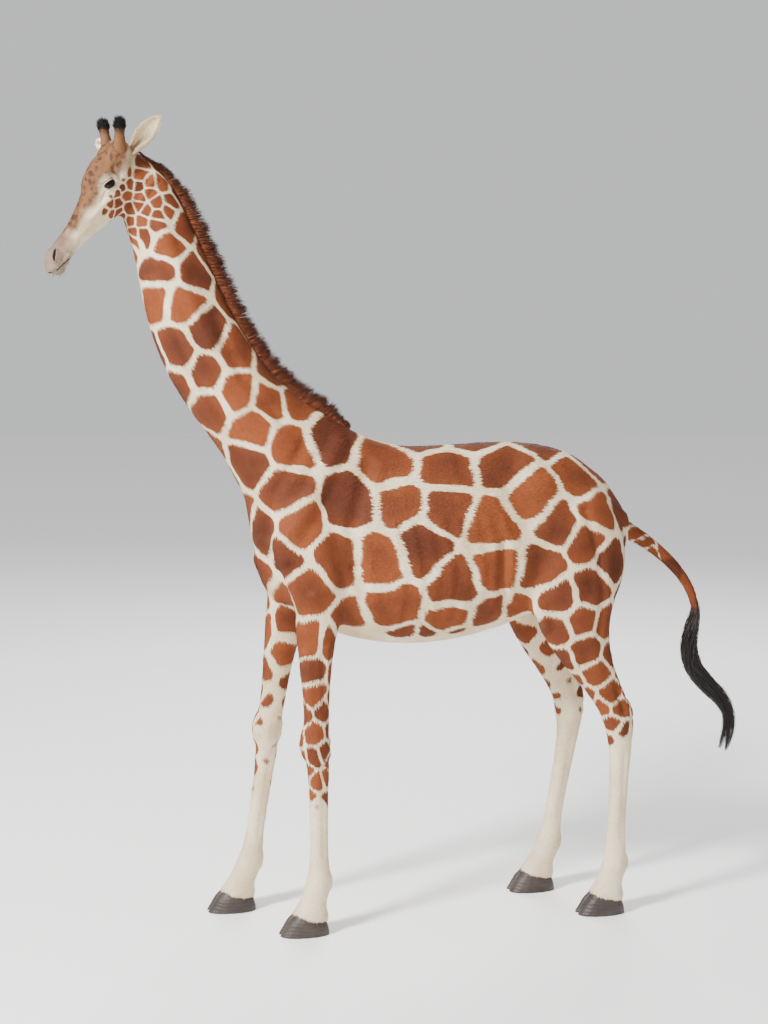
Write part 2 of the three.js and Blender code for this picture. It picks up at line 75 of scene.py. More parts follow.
# The line of the lips and the slit of the nostril on the left, as (ahead, up, out) in the head's frame.
MOUTH = (
    (0.590, -0.1165, 0.056), (0.615, -0.112, 0.058), (0.650, -0.1075, 0.055), (0.685, -0.104, 0.044),
    (0.712, -0.101, 0.022), (0.722, -0.100, 0.0),
)  # fmt: skip
NOSTRIL = ((0.622, -0.034, 0.036), (0.640, -0.034, 0.044), (0.658, -0.044, 0.049), (0.668, -0.062, 0.050))
LEG_PIVOT = 2.15  # the height from which each leg's stride swings
LEG_ROOT = {"fore": -0.518, "hind": 0.895}
LEG_STRIDE = {"left_fore": 0.015, "right_fore": -0.3, "left_hind": 0.01, "right_hind": -0.24}

# ---- Numbers ----


def rising(value, start, end):
    """0 before start and 1 after end, with a smooth way between."""
    share = np.clip((value - start) / (end - start), 0, 1)
    return share * share * (3 - 2 * share)


def falling(value, start, end):
    """1 before start and 0 after end."""
    return 1 - rising(value, start, end)


def unit(vectors):
    """Vectors at length 1."""
    return vectors / np.maximum(np.linalg.norm(vectors, axis=-1, keepdims=True), 1e-9)


def flattened(way, facing):
    """A way laid flat on a surface that faces another way, at length 1."""
    return unit(way - (way * facing).sum(axis=-1, keepdims=True) * facing)


def waves(points, size, seed, octaves=2):
    """A smooth wavy field from -1 to 1 over points, as sines of random directions."""
    rng = np.random.default_rng(seed)
    total = np.zeros(len(points))
    reach = 0
    for octave in range(octaves):
        for _ in range(6):
            turn = rng.normal(size=3)
            turn = turn / np.linalg.norm(turn) * 2 * math.pi / size * 2**octave
            total += np.sin(points @ turn + rng.uniform(0, 2 * math.pi)) / 2**octave
        reach += 6 / 2**octave
    return total / reach * 2


def distances(line):
    """How far along a bent line each of its points is."""
    return np.concatenate([[0], np.cumsum(np.linalg.norm(np.diff(line, axis=0), axis=1))])


def within(points, zones, more=1.0):
    """Which points are in any of some round zones, given as (centre, reach)."""
    return np.any([np.linalg.norm(points - centre, axis=1) < reach * more for centre, reach in zones], axis=0)


# ---- The head's own frame: ahead to the lips, up to the crown, out to its left ----

HEAD_TURNING = np.array(Matrix.Rotation(HEAD_TURN, 3, "Z") @ Matrix.Rotation(HEAD_PITCH, 3, "X"))
AHEAD, UP, OUT = -HEAD_TURNING[:, 1], HEAD_TURNING[:, 2], HEAD_TURNING[:, 0]
EYES = {side: sum(np.array(corner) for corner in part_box(f"{side}_eye")) / 2 for side in SIDES}
POLL = (EYES["left"] + EYES["right"]) / 2 - EYE_AHEAD * AHEAD - EYE_UP * UP


def in_head(points):
    """World points as (ahead, up, out) of the head's frame."""
    return (points - POLL) @ np.stack([AHEAD, UP, OUT], axis=1)


def from_head(ahead, up, out):
    """One point of the head's frame in the world."""
    return POLL + ahead * AHEAD + up * UP + out * OUT


def head_way(ahead, up, out):
    """A way in the head's frame, in the world and at length 1."""
    return unit(ahead * AHEAD + up * UP + out * OUT)


def head_path(spots, side):
    """Points given for the head's left, in the world; with side at -1 they are those of its right."""
    return [from_head(ahead, up, side * out) for ahead, up, out in spots]


EYE_FACING = {side: head_way(0.3, 0.02, 0.95 * k) for side, k in SIDES.items()}
EYE_UPWARD = {side: flattened(UP, EYE_FACING[side]) for side in SIDES}
EYE_FORWARD = {side: np.cross(EYE_UPWARD[side], EYE_FACING[side]) * k for side, k in SIDES.items()}
SeenFromEye = namedtuple("SeenFromEye", "radius turn rise in_front spread")


def seen_from_eye(points, side):
    """Where points lie as an eyeball's middle sees them.

    That is how far off, by what angles forward and up from where the eye faces, whether in front of it, and
    how many times as wide as the lids' opening.
    """
    ray = points - EYES[side]
    x, y, z = ray @ EYE_FORWARD[side], ray @ EYE_UPWARD[side], ray @ EYE_FACING[side]
    turn, rise = np.arctan2(x, z), np.arctan2(y, np.hypot(x, z))
    spread = np.hypot(turn / LID_HALF, (rise + LID_TILT * turn) / np.where(rise > 0, LID_UP, LID_DOWN))
    return SeenFromEye(np.linalg.norm(ray, axis=1), turn, rise, z > 0, spread)


def lid_arch(along):
    """How high a lid's edge stands: 1 in the middle and 0 in the eye's corners, at -1 and 1."""
    return np.sqrt(np.clip(1 - along**2, 0, 1)) ** 0.85


def lid_share(seen):
    """0 in the middle of the eye's opening, 1 at its edge and more outside: an almond, sharper in front."""
    tilt = seen.rise + LID_TILT * seen.turn
    half = np.where(seen.turn > 0, LID_HALF * 1.05, LID_HALF)
    edge = np.where(tilt > 0, LID_UP, LID_DOWN) * lid_arch(seen.turn / half)
    return np.maximum(np.abs(seen.turn) / half, np.abs(tilt) / np.maximum(edge, 0.02))


def lid_folds(seen):
    """1 along the folds round the lids, the nearer one the deeper."""
    past = seen.spread - np.where(seen.rise > 0, 1.66, 1.78)
    fold = np.exp(-((past / 0.15) ** 2)) + 0.6 * np.exp(-(((past - 0.6) / 0.17) ** 2))
    return fold * (np.abs(seen.turn) < LID_HALF * 1.5)


def horn_axis(side):
    """Where a horn's foot is, and which way it rises."""
    k = SIDES[side]
    ahead, up, out = HORN_FOOT
    upward = math.cos(HORN_LEAN) * math.cos(HORN_SPLAY)
    return from_head(ahead, up, out * k), head_way(-math.sin(HORN_LEAN), upward, k * math.sin(HORN_SPLAY))


def foot_of_horn(points, side, start, end):
    """1 inside a horn's foot, and falling to 0 outside it."""
    foot, rise = horn_axis(side)
    along = (points - foot) @ rise
    away = np.linalg.norm(points - foot - along[:, None] * rise, axis=1)
    radius = np.interp(along / HORN_LENGTH, *zip(*HORN_RADII))
    return falling(away - radius, start, end) * rising(along, -0.085, -0.01)


def side_and_end(leg):
    """A leg's side, and whether it is a fore or a hind one."""
    side, end = leg.split("_")
    return side, end[:4]


def on_leg(leg, x, y, z):
    """A point by a leg, carried along by its stride; x is out from the middle, y back from the leg's root."""
    side, end = side_and_end(leg)
    carried = LEG_STRIDE[f"{side}_{end}"] * max(0, 1 - z / LEG_PIVOT)
    return np.array([SIDES[side] * x, LEG_ROOT[end] + y + carried, z])


# ---- Meshes as arrays ----


def read(items, key, width, kind=np.float32):
    """One property of a mesh's items, as an array of that width."""
    flat = np.empty(len(items) * width, kind)
    items.foreach_get(key, flat)
    return flat.reshape(-1, width)


def corners(mesh):
    """A mesh's vertices."""
    return read(mesh.vertices, "co", 3).astype(np.float64)


def normals(mesh):
    """A mesh's vertex normals."""
    return read(mesh.vertex_normals, "vector", 3).astype(np.float64)


def edges(mesh):
    """A mesh's edges as pairs of vertex numbers."""
    return read(mesh.edges, "vertices", 2, np.int32)


def triangles(mesh):
    """A mesh's faces as triangles of vertex numbers."""
    mesh.calc_loop_triangles()
    return read(mesh.loop_triangles, "vertices", 3, np.int32)


def surface(mesh):
    """A search tree of a mesh's faces."""
    return BVHTree.FromPolygons(corners(mesh).tolist(), [list(face.vertices) for face in mesh.polygons])


def place(mesh, points):
    """Moves a mesh's vertices."""
    mesh.vertices.foreach_set("co", points.astype(np.float32).ravel())
    mesh.update()


def store(mesh, **fields):
    """Keeps numbers per vertex on a mesh, for its finish to read."""
    for name, values in fields.items():
        attribute = mesh.attributes.new(name, "FLOAT", "POINT")
        attribute.data.foreach_set("value", values.astype(np.float32))


def neighbours_mean(values, pairs):
    """The mean of each vertex's neighbours, for values of one or more columns."""
    count = np.bincount(pairs.ravel(), minlength=len(values)).astype(np.float64)
    first, second = pairs.T
    total = [
        np.bincount(first, column[second], len(values)) + np.bincount(second, column[first], len(values))
        for column in values.reshape(len(values), -1).T
    ]
    return (np.stack(total, axis=1) / np.maximum(count, 1)[:, None]).reshape(values.shape)


def relaxed(values, pairs, rounds, weight=1.0, keep_size=False):
    """Values smoothed over the net, with a push back each round where a shape isn't to shrink."""
    weight = np.broadcast_to(weight, (len(values),)).reshape((-1,) + (1,) * (values.ndim - 1))
    for _ in range(rounds):
        values = values + weight * 0.5 * (neighbours_mean(values, pairs) - values)
        if keep_size:
            values = values - weight * 0.53 * (neighbours_mean(values, pairs) - values)
    return values


# ---- Making nets ----


def linked(name, data):
    """A new object of that data, in the scene."""
    thing = bpy.data.objects.new(name, data)
    bpy.context.scene.collection.objects.link(thing)
    return thing


def added(name, bm):
    """A new object from a bmesh."""
    mesh = bpy.data.meshes.new(name)
    bm.to_mesh(mesh)
    bm.free()
    return linked(name, mesh)


def joined(names, swell=0.0):
    """One bmesh of copies of CAD nodes, merged and swollen a little."""
    bm = bmesh.new()
    for name in names:
        bm.from_mesh(NODES[name].data)
    bmesh.ops.remove_doubles(bm, verts=bm.verts, dist=1e-5)
    bm.normal_update()
    for vert in bm.verts:
        vert.co += vert.normal * swell
    return bm


def remeshed(thing, voxel):
    """Gives a thing an even net of that size, as one closed surface."""
    modifier = thing.modifiers.new("Net", "REMESH")
    modifier.mode = "VOXEL"
    modifier.voxel_size = voxel
    modifier.use_smooth_shade = True
    finished = bpy.data.meshes.new_from_object(thing.evaluated_get(bpy.context.evaluated_depsgraph_get()))
    thing.modifiers.clear()
    old = thing.data
    thing.data = finished
    bpy.data.meshes.remove(old)
    return thing


def divided(thing, wanted):
    """Splits in two the edges whose ends are both wanted."""
    bm = bmesh.new()
    bm.from_mesh(thing.data)
    bm.verts.ensure_lookup_table()
    chosen = [edge for edge in bm.edges if wanted[edge.verts[0].index] and wanted[edge.verts[1].index]]
    bmesh.ops.subdivide_edges(bm, edges=chosen, cuts=1, use_grid_fill=True)
    bm.to_mesh(thing.data)
    bm.free()
    thing.data.shade_smooth()


def softened(thing, rounds, weight):
    """Irons out a thing's facets, then gives back the bulk that this took."""
    mesh = thing.data
    pairs = edges(mesh)
    before = corners(mesh)
    after = relaxed(before, pairs, rounds, weight)
    place(mesh, after)
    facing = normals(mesh)
    lost = relaxed(((after - before) * facing).sum(axis=1), pairs, 60)
    place(mesh, after - facing * lost[:, None])


def smooth_copy(name, node, voxel, rounds):
    """A smooth closed copy of a CAD node, in its place."""
    thing = remeshed(added(name, joined((node,))), voxel)
    points = relaxed(corners(thing.data), edges(thing.data), rounds, keep_size=True)
    place(thing.data, relaxed(points, edges(thing.data), 3))
    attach(thing, "root")
    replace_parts(thing, node)
    return thing


def owners(points, pairs, rounds=10):
    """How much of each part of the flesh each point belongs to, softened where two meet."""
    spots, faces, owner = [], [], []
    for number, name in enumerate(FLESH):
        mesh = NODES[name].data
        faces += [[len(spots) + v for v in face.vertices] for face in mesh.polygons]
        owner += [number] * len(mesh.polygons)
        spots += [v.co.copy() for v in mesh.vertices]
    tree = BVHTree.FromPolygons(spots, faces)
    nearest = [owner[tree.find_nearest(point)[2]] for point in points.tolist()]
    return relaxed(np.eye(len(FLESH))[nearest], pairs, rounds)


def by_part(sizes):
    """One size for each part of the flesh, in its order."""
    return np.array([sizes.get(name, sizes["leg"]) for name in FLESH])


# ---- The skin's net ----


def skin_net():
    """The flesh as one even net, ironed out and sunk by the depth of its coat."""
    thing = remeshed(added("skin", joined((*FLESH, "left_eye", "right_eye"), 0.001)), VOXEL)
    shares = owners(corners(thing.data), edges(thing.data))
    softened(thing, 40, shares @ by_part(IRONED))
    place(thing.data, corners(thing.data) - normals(thing.data) * (shares @ by_part(COAT_DEPTH))[:, None])
    # The throat latch, where the jaw's and the neck's solids cross, is ironed further.
    points = corners(thing.data)
    latch = within(points, [(from_head(0.0, -0.11, 0.06 * k), 0.13) for k in (-1, 0, 1)])
    place(thing.data, relaxed(points, edges(thing.data), 16, relaxed(latch * 1.0, edges(thing.data), 4)))
    return thing


def refine_head(thing):
    """Splits the net finer over the head, then round eyes and muzzle, then at lids, lips and nostrils."""
    head = [(from_head(0.36, -0.04, 0), 0.52)]
    features = [(EYES[side] + 0.012 * EYE_FACING[side], 0.085) for side in SIDES]
    features.append((from_head(0.67, -0.085, 0), 0.105))
    openings = [(EYES[side] + 0.015 * EYE_FACING[side], 0.047) for side in SIDES]
    for k in SIDES.values():
        openings += [(spot, 0.017) for spot in head_path(MOUTH, k)]
        openings += [(spot, 0.021) for spot in head_path(NOSTRIL, k)]
    for zones in (head, features, openings):
        points = corners(thing.data)
        divided(thing, within(points, zones) & (in_head(points)[:, 0] > -0.06))
        points = corners(thing.data)
        close = within(points, zones, 1.1)
        place(thing.data, relaxed(points, edges(thing.data), 3, close * 1.0, keep_size=True))


# ---- Muscle, bone and folds ----


class Relief:
    """A skin that is raised and sunk near paths laid on it."""

    def __init__(self, thing):
        self.mesh = thing.data
        self.points = corners(self.mesh)
        self.facing = normals(self.mesh)
        self.tree = surface(self.mesh)

    def away(self, path, taper=0.0):
        """How far the points lie from a path; with a taper it seems further off towards its ends."""
        path = [np.array(self.tree.find_nearest(spot)[0]) for spot in path]
        nearest = np.full(len(self.points), np.inf)
        share = np.zeros(len(self.points))
        for i, (start, end) in enumerate(zip(path, path[1:] or path)):
            line = end - start
            along = np.clip((self.points - start) @ line / max(line @ line, 1e-9), 0, 1)
            gap = np.linalg.norm(self.points - start - along[:, None] * line, axis=1)
            share = np.where(gap < nearest, (i + along) / max(len(path) - 1, 1), share)
            nearest = np.minimum(nearest, gap)
        return nearest / (1 - taper * (2 * share - 1) ** 2)

    def lift(self, path, reach, height, taper=0.0):
        """Moves the points near a path along their normals: up for a ridge, down for a fold."""
        close = falling(self.away(path, taper), 0, reach)
        self.points = self.points + self.facing * (height * close)[:, None]

    def keep(self):
        """Gives the mesh its new shape."""
        place(self.mesh, self.points)


FLANK_FOLD = ((0.31, 0.45, 1.98), (0.31, 0.44, 1.80), (0.29, 0.48, 1.63), (0.26, 0.58, 1.52))
THIGH_GROOVE = ((0.25, 0.90, 2.14), (0.30, 0.97, 1.90), (0.29, 0.99, 1.70), (0.27, 0.97, 1.50))
GULLET = (
    (0.08, -1.37, 3.55), (0.11, -1.27, 3.22), (0.13, -1.12, 2.90), (0.15, -0.96, 2.60), (0.16, -0.83, 2.30),
)  # fmt: skip
# The left side's forms as (path, reach, height); the right side takes them mirrored.
BODY_FORMS = (
    (((0.10, -0.36, 2.50), (0.20, -0.50, 2.28), (0.25, -0.62, 2.08)), 0.075, 0.012),  # the shoulder blade
    (((0.16, -0.22, 2.40), (0.29, -0.33, 2.10), (0.31, -0.32, 1.90)), 0.07, -0.011),  # behind it
    (((0.15, -0.56, 2.50), (0.19, -0.72, 2.25), (0.19, -0.79, 2.05)), 0.06, -0.009),  # before the shoulder
    (((0.24, -0.75, 2.02), (0.25, -0.72, 1.93)), 0.1, 0.014),  # the point of the shoulder
    (((0.30, -0.50, 2.02), (0.30, -0.43, 1.84)), 0.11, 0.018),  # the upper arm's muscle
    (((0.29, -0.66, 1.90), (0.30, -0.56, 1.78)), 0.04, -0.009),  # under the upper arm
    (((0.16, -0.70, 1.95), (0.17, -0.66, 1.75)), 0.045, -0.014),  # between breast and leg
    (((0.30, -0.31, 1.88), (0.29, -0.27, 1.74)), 0.065, -0.011),  # behind the elbow
    (((0.28, 0.52, 2.22), (0.29, 0.58, 2.08)), 0.12, -0.016),  # the hollow of the flank
    (((0.17, 0.64, 2.38), (0.22, 0.69, 2.29)), 0.12, 0.016),  # the hip point
    (((0.20, 0.72, 2.31), (0.15, 0.92, 2.21), (0.10, 1.10, 2.10)), 0.06, 0.008),  # from hip to pin bone
    (((0.09, 1.15, 2.08), (0.09, 1.17, 2.04)), 0.055, 0.014),  # the pin bone
    (FLANK_FOLD, 0.055, -0.016),
    (((0.31, 0.56, 1.90), (0.31, 0.56, 1.78), (0.29, 0.61, 1.64)), 0.11, 0.007),  # the skin behind that fold
    (THIGH_GROOVE, 0.04, -0.010),
    (((0.29, 0.78, 2.00), (0.31, 0.80, 1.82)), 0.16, 0.012),  # the thigh's bulk
    (((0.28, 0.60, 1.62), (0.28, 0.64, 1.55)), 0.075, 0.016),  # the stifle
    (((0.27, 0.70, 1.55), (0.25, 0.82, 1.38)), 0.045, -0.007),  # under the stifle
)
NECK_FORMS = (
    (GULLET, 0.045, -0.010),  # the groove over the gullet
    (((0.10, -1.25, 3.60), (0.12, -1.13, 3.25), (0.14, -0.98, 2.92)), 0.06, 0.007),  # the long muscle over it
    (((0.12, -0.98, 3.15), (0.14, -0.86, 2.85), (0.16, -0.66, 2.62)), 0.05, -0.006),  # under the crest
    (((0.00, -0.74, 1.90), (0.00, -0.66, 1.72)), 0.09, 0.012),  # the brisket
)
RIBS, RIB_APART = 8, 0.083
FIRST_RIB = ((0.33, -0.13, 2.12), (0.33, -0.08, 1.85), (0.28, -0.10, 1.60))
NECK_BONES = 6  # bumps down the side of the neck
TOP_BONE, BONES_RUN = (0.13, -1.22, 3.55), (0, 0.36, -0.85)
BODY_RELIEF = 1.35  # how much of these forms' heights is used


def shape_body(relief):
    """Shoulders, ribs, flanks and thighs, and the long forms of the neck."""
    for side in SIDES.values():
        across = np.array([side, 1, 1])
        for path, reach, height in (*BODY_FORMS, *NECK_FORMS):
            relief.lift(np.array(path) * across, reach, height * BODY_RELIEF)
        for i in range(RIBS):
            rib = np.array(FIRST_RIB) + (0, i * RIB_APART, 0)
            relief.lift(rib * across, 0.034, 0.003)
        for share in np.linspace(0, 1, NECK_BONES):
            bone = np.array(TOP_BONE) + share * np.array(BONES_RUN)
            relief.lift([bone * across], 0.085, 0.006)


# Forms of the legs: a path of (x out, y back from the root, z), reach and height.
LEG_FORMS = {
    "fore": (
        (((0.219, -0.09, 1.035), (0.219, -0.09, 0.935)), 0.055, 0.007),  # the knee's flat front
        (((0.275, -0.02, 1.00), (0.280, -0.01, 0.95)), 0.035, 0.007),  # its outer bump
        (((0.165, -0.02, 1.00), (0.162, -0.01, 0.95)), 0.035, 0.006),  # its inner bump
        (((0.219, 0.07, 1.00), (0.219, 0.075, 0.93)), 0.04, 0.012),  # the bone behind the knee
        (((0.222, -0.06, 0.885), (0.222, -0.06, 0.86)), 0.04, -0.005),  # under the knee
        (((0.265, 0.022, 0.86), (0.272, 0.022, 0.40)), 0.026, -0.007),  # the groove before the tendon
        (((0.180, 0.022, 0.86), (0.190, 0.022, 0.40)), 0.026, -0.006),  # and inside
        (((0.262, -0.06, 1.45), (0.262, -0.045, 1.15)), 0.045, 0.008),  # the forearm's outer muscle
        (((0.270, 0.03, 1.50), (0.265, 0.035, 1.18)), 0.03, -0.008),  # the groove behind it
        (((0.28, -0.005, 0.285), (0.29, 0.0, 0.255)), 0.04, 0.006),  # the fetlock's side
        (((0.240, 0.07, 0.285), (0.240, 0.07, 0.245)), 0.04, 0.010),  # the fetlock behind
        (((0.240, -0.05, 0.335), (0.240, -0.055, 0.315)), 0.04, -0.004),  # over the fetlock in front
    ),
    "hind": (
        (((0.263, 0.185, 1.22), (0.262, 0.225, 1.08)), 0.034, -0.017),  # the hollow before the heel tendon
        (((0.160, 0.185, 1.22), (0.165, 0.225, 1.08)), 0.034, -0.014),  # and inside
        (((0.212, 0.30, 1.12), (0.214, 0.295, 1.07)), 0.04, 0.014),  # the hock's point
        (((0.270, 0.20, 1.02), (0.272, 0.21, 0.96)), 0.038, 0.009),  # its outer side
        (((0.160, 0.20, 1.02), (0.162, 0.21, 0.96)), 0.038, 0.008),  # its inner side
        (((0.214, 0.135, 1.02), (0.216, 0.145, 0.97)), 0.04, 0.005),  # its front
        (((0.262, 0.225, 0.86), (0.270, 0.212, 0.40)), 0.026, -0.007),  # the groove before the tendon
        (((0.175, 0.225, 0.86), (0.186, 0.212, 0.40)), 0.026, -0.006),  # and inside
        (((0.262, 0.03, 1.48), (0.262, 0.09, 1.25)), 0.05, 0.008),  # the shin's outer muscle
        (((0.275, 0.185, 0.285), (0.285, 0.185, 0.255)), 0.04, 0.006),  # the fetlock's side
        (((0.235, 0.255, 0.285), (0.235, 0.255, 0.245)), 0.04, 0.010),  # the fetlock behind
    ),
}


def shape_legs(relief):
    """Knees, hocks, tendons and fetlocks, and the feet, which hang their hair over the horn of the claws."""
    for leg in LEGS:
        for path, reach, height in LEG_FORMS[side_and_end(leg)[1]]:
            relief.lift([on_leg(leg, *spot) for spot in path], reach, height)
    relief.points += relief.facing * (1, 1, 0) * (0.008 * falling(relief.points[:, 2], 0.10, 0.17))[:, None]
    relief.points[:, 2] -= 0.016 * falling(relief.points[:, 2], 0.10, 0.30)


# Forms of the head's left side in its own frame: a path of (ahead, up, out), reach and height.
FACE_FORMS = (
    (((0.150, 0.092, 0.0), (0.235, 0.074, 0.0)), 0.100, 0.010),  # the low middle horn
    (((0.210, 0.012, 0.110),), 0.085, 0.010),  # the eye's socket stands out
    (((0.150, 0.060, 0.085), (0.205, 0.052, 0.105), (0.262, 0.034, 0.092)), 0.030, 0.007),  # the brow
    (((0.190, -0.045, 0.105), (0.290, -0.045, 0.085), (0.390, -0.050, 0.066)), 0.026, 0.008),  # the cheekbone
    (((0.130, -0.020, 0.105), (0.070, 0.0, 0.090)), 0.030, 0.007),  # its arch behind the eye
    (((0.115, 0.035, 0.095), (0.135, 0.045, 0.095)), 0.030, -0.008),  # the temple
    (((0.085, -0.090, 0.085), (0.140, -0.100, 0.090)), 0.070, 0.009),  # the jaw muscle
    (((0.215, -0.110, 0.080), (0.235, -0.060, 0.090)), 0.032, -0.006),  # before it
    (((0.030, -0.150, 0.060), (0.120, -0.185, 0.055), (0.210, -0.170, 0.050)), 0.026, 0.006),  # jaw's edge
    (((0.300, 0.010, 0.070), (0.420, -0.020, 0.052), (0.520, -0.035, 0.046)), 0.026, -0.004),  # by the nose
    (((0.330, -0.095, 0.068), (0.500, -0.098, 0.052)), 0.024, -0.004),  # between the rows of teeth
    (((0.245, 0.000, 0.095), (0.300, -0.030, 0.085)), 0.014, -0.003),  # the tear line
    (((0.640, -0.048, 0.050), (0.665, -0.060, 0.052)), 0.040, 0.006),  # the nostril's wing
    (((0.600, -0.098, 0.050), (0.700, -0.090, 0.034)), 0.020, 0.005),  # the upper lip
    (((0.610, -0.122, 0.046), (0.690, -0.118, 0.030)), 0.018, 0.005),  # the lower lip
    (((0.655, -0.138, 0.0), (0.675, -0.136, 0.0)), 0.034, 0.008),  # the chin
)
FACE_RELIEF = 1.3  # how much of these heights is used


def shape_face(relief):
    """The bones and soft forms of the face."""
    for k in SIDES.values():
        for path, reach, height in FACE_FORMS:
            relief.lift(head_path(path, k), reach, height * FACE_RELIEF)


def open_mouth_and_nostrils(relief):
    """A narrow groove between the lips, and nostrils as slanting slits that run back and up.

    Gives where the skin is hairless, where painted shade darkens the groove and slits where they lie deepest,
    and how near the lips it is.
    """
    bare, deep, by_lips = np.zeros((3, len(relief.points)))
    for k in SIDES.values():
        lips, slit = head_path(MOUTH, k), head_path(NOSTRIL, k)
        from_lips = relief.away(lips)
        bare = np.maximum(bare, falling(from_lips, 0.0015, 0.006))
        bare = np.maximum(bare, falling(relief.away(slit, 0.55), 0.0055, 0.0110))
        # Painted shade, darkest deep in the groove between the lips and in the nostrils' slits.
        deep = np.maximum(deep, falling(from_lips, 0.0005, 0.0035))
        deep = np.maximum(deep, falling(relief.away(slit, 0.6), 0.0040, 0.0085))
        by_lips = np.maximum(by_lips, falling(from_lips, 0.006, 0.022))
        relief.lift(lips, 0.014, 0.0025)
        relief.lift(lips, 0.0062, -0.0095)
        relief.lift(slit, 0.026, 0.006, 0.3)
        relief.lift(slit, 0.0125, -0.022, 0.7)
    return bare, deep, by_lips


def swell_horn_feet(relief):
    """The brow rises to carry each horn."""
    for side in SIDES:
        swell = (foot_of_horn(relief.points, side, -0.005, 0.052) ** 2)[:, None]
        relief.points = relief.points + swell * (0.034 * horn_axis(side)[1] + 0.008 * relief.facing)


def lids_drawn(points, side):
    """Draws the skin tight round an eyeball, with a rim, folds, and an opening that goes in past the ball."""
    seen = seen_from_eye(points, side)
    lid = EYE_RADIUS + LID_DEPTH
    reach = np.maximum(seen.radius + (lid - seen.radius) * falling(seen.spread, 1.2, 2.5), lid)
    reach -= 0.0048 * lid_folds(seen)
    reach += np.where(seen.rise > 0, 0.0036, 0.0018) * np.exp(-(((seen.spread - 1.28) / 0.2) ** 2))
    reach += (EYE_RADIUS - 0.005 - reach) * falling(lid_share(seen), 0.93, 1.06)
    beside = seen.in_front & (seen.radius < 0.075)
    return np.where(beside[:, None], EYES[side] + unit(points - EYES[side]) * reach[:, None], points)


def lids_cleared(points, side):
    """Lifts what lies outside the opening clear of the eyeball."""
    seen = seen_from_eye(points, side)
    shut = seen.in_front & (seen.radius < 0.06) & (lid_share(seen) > 1.02)
    lift = np.maximum(EYE_RADIUS + LID_GAP - seen.radius, 0) * shut
    return points + unit(points - EYES[side]) * lift[:, None]


def shape_lids(thing, points):
    """Sets the lids round both eyes, and smooths them and the muzzle a little."""
    for side in SIDES:
        points = lids_drawn(points, side)
    soft = within(points, [(EYES[s], 0.06) for s in SIDES] + [(from_head(0.66, -0.085, 0), 0.11)])
    place(thing.data, relaxed(points, edges(thing.data), 2, soft * 0.7, keep_size=True))
    points = corners(thing.data)
    for side in SIDES:
        points = lids_cleared(points, side)
    place(thing.data, points)


skin = skin_net()
refine_head(skin)
relief = Relief(skin)
shape_body(relief)
shape_legs(relief)
relief.keep()
relief = Relief(skin)
shape_face(relief)
relief.keep()
relief = Relief(skin)
bare, deep, by_lips = open_mouth_and_nostrils(relief)
swell_horn_feet(relief)
shape_lids(skin, relief.points)

# ---- The finished skin, on which coat and colours are laid out ----

skin_tree = surface(skin.data)
skin_at = corners(skin.data)
skin_facing = normals(skin.data)
pairs = edges(skin.data)
body = owners(skin_at, pairs, 14)
share = dict(zip(FLESH, body.T))
share["leg"] = sum(share[leg] for leg in LEGS)
x, y, z = skin_at.T
ahead, up, out = in_head(skin_at).T
eye_views = {side: seen_from_eye(skin_at, side) for side in SIDES}

# ---- The lie of the coat ----

NECK_DOWN = unit(np.array([0, 0.62, -0.78]))


def lie_of_coat():
    """Which way the hair lies at each point of the skin."""
    none, whole = np.zeros_like(x), np.ones_like(x)
    muzzleward = rising(ahead, 0.16, 0.40)[:, None]
    head = muzzleward * (AHEAD - 0.5 * UP) + (1 - muzzleward) * (-0.8 * AHEAD - 0.7 * UP)
    ways = {
        "trunk": unit(np.stack([none, whole, -0.35 + 0.5 * skin_facing[:, 2]], axis=1)),
        "neck": NECK_DOWN,
        "head": unit(np.where((ahead < 0.02)[:, None], NECK_DOWN, head)),
        "tail": unit(np.stack([none, rising(z, 1.75, 2.15), -whole], axis=1)),
        "leg": unit(np.stack([none, 0.10 * whole, -whole], axis=1)),
    }
    lie = relaxed(sum(share[part][:, None] * way for part, way in ways.items()), pairs, 30)
    for side in SIDES:
        climbing = foot_of_horn(skin_at, side, 0.004, 0.030)[:, None]
        lie = lie * (1 - climbing) + horn_axis(side)[1] * climbing
    return flattened(lie, skin_facing)


def lengths_of_coat():
    """How long the hair is: longer where the cheek meets the neck, shortest on face, lips and lids."""
    length = relaxed(body @ by_part(HAIR_LENGTH), pairs, 6)
    length += share["head"] * 0.010 * rising(0.16 - ahead, 0, 0.24)
    length -= share["neck"] * 0.004 * rising(z, 3.05, 3.45)
    length = relaxed(length, pairs, 20)
    length *= 1 - 0.30 * share["leg"] * (rising(z, 0.12, 0.2) - rising(z, 0.5, 1.2))
    length *= (1 - 0.35 * share["head"] * rising(ahead, 0.50, 0.66)) * (1 - 0.55 * by_lips)
    for seen in eye_views.values():
        length *= 1 - 0.45 * falling(seen.radius, 0.035, 0.075)
    return length


# ---- Markings ----

# Where the left flank's large patches are centred, as (y, z) from breast to rump and down the thigh.
FLANK_PATCHES = (
    (-0.67, 2.28), (-0.70, 1.95), (-0.34, 2.21), (-0.42, 1.94), (-0.13, 2.40), (0.00, 2.00), (0.17, 2.37),
    (0.20, 1.77), (0.39, 2.08), (0.48, 2.38), (0.66, 1.85), (0.75, 2.08), (0.88, 2.31), (1.04, 1.87),
    (0.73, 1.53), (1.03, 1.55), (0.97, 1.30), (-0.36, 1.60), (-0.57, 1.50), (-0.40, 1.38), (-0.54, 1.24),
)  # fmt: skip
# The same down the left of the neck.
NECK_PATCHES = (
    (-1.15, 3.61), (-1.09, 3.36), (-1.30, 3.23), (-1.19, 2.99), (-1.04, 3.08), (-0.89, 2.98), (-0.73, 2.73),
    (-1.04, 2.69), (-0.43, 2.54), (-0.84, 2.42),
)  # fmt: skip
PLACED_PATCHES = (*FLANK_PATCHES, *NECK_PATCHES)
PATCH_SHIFT = 0.035  # how far the right side's patches stray from the left side's
PATCH_TRIES = 30000


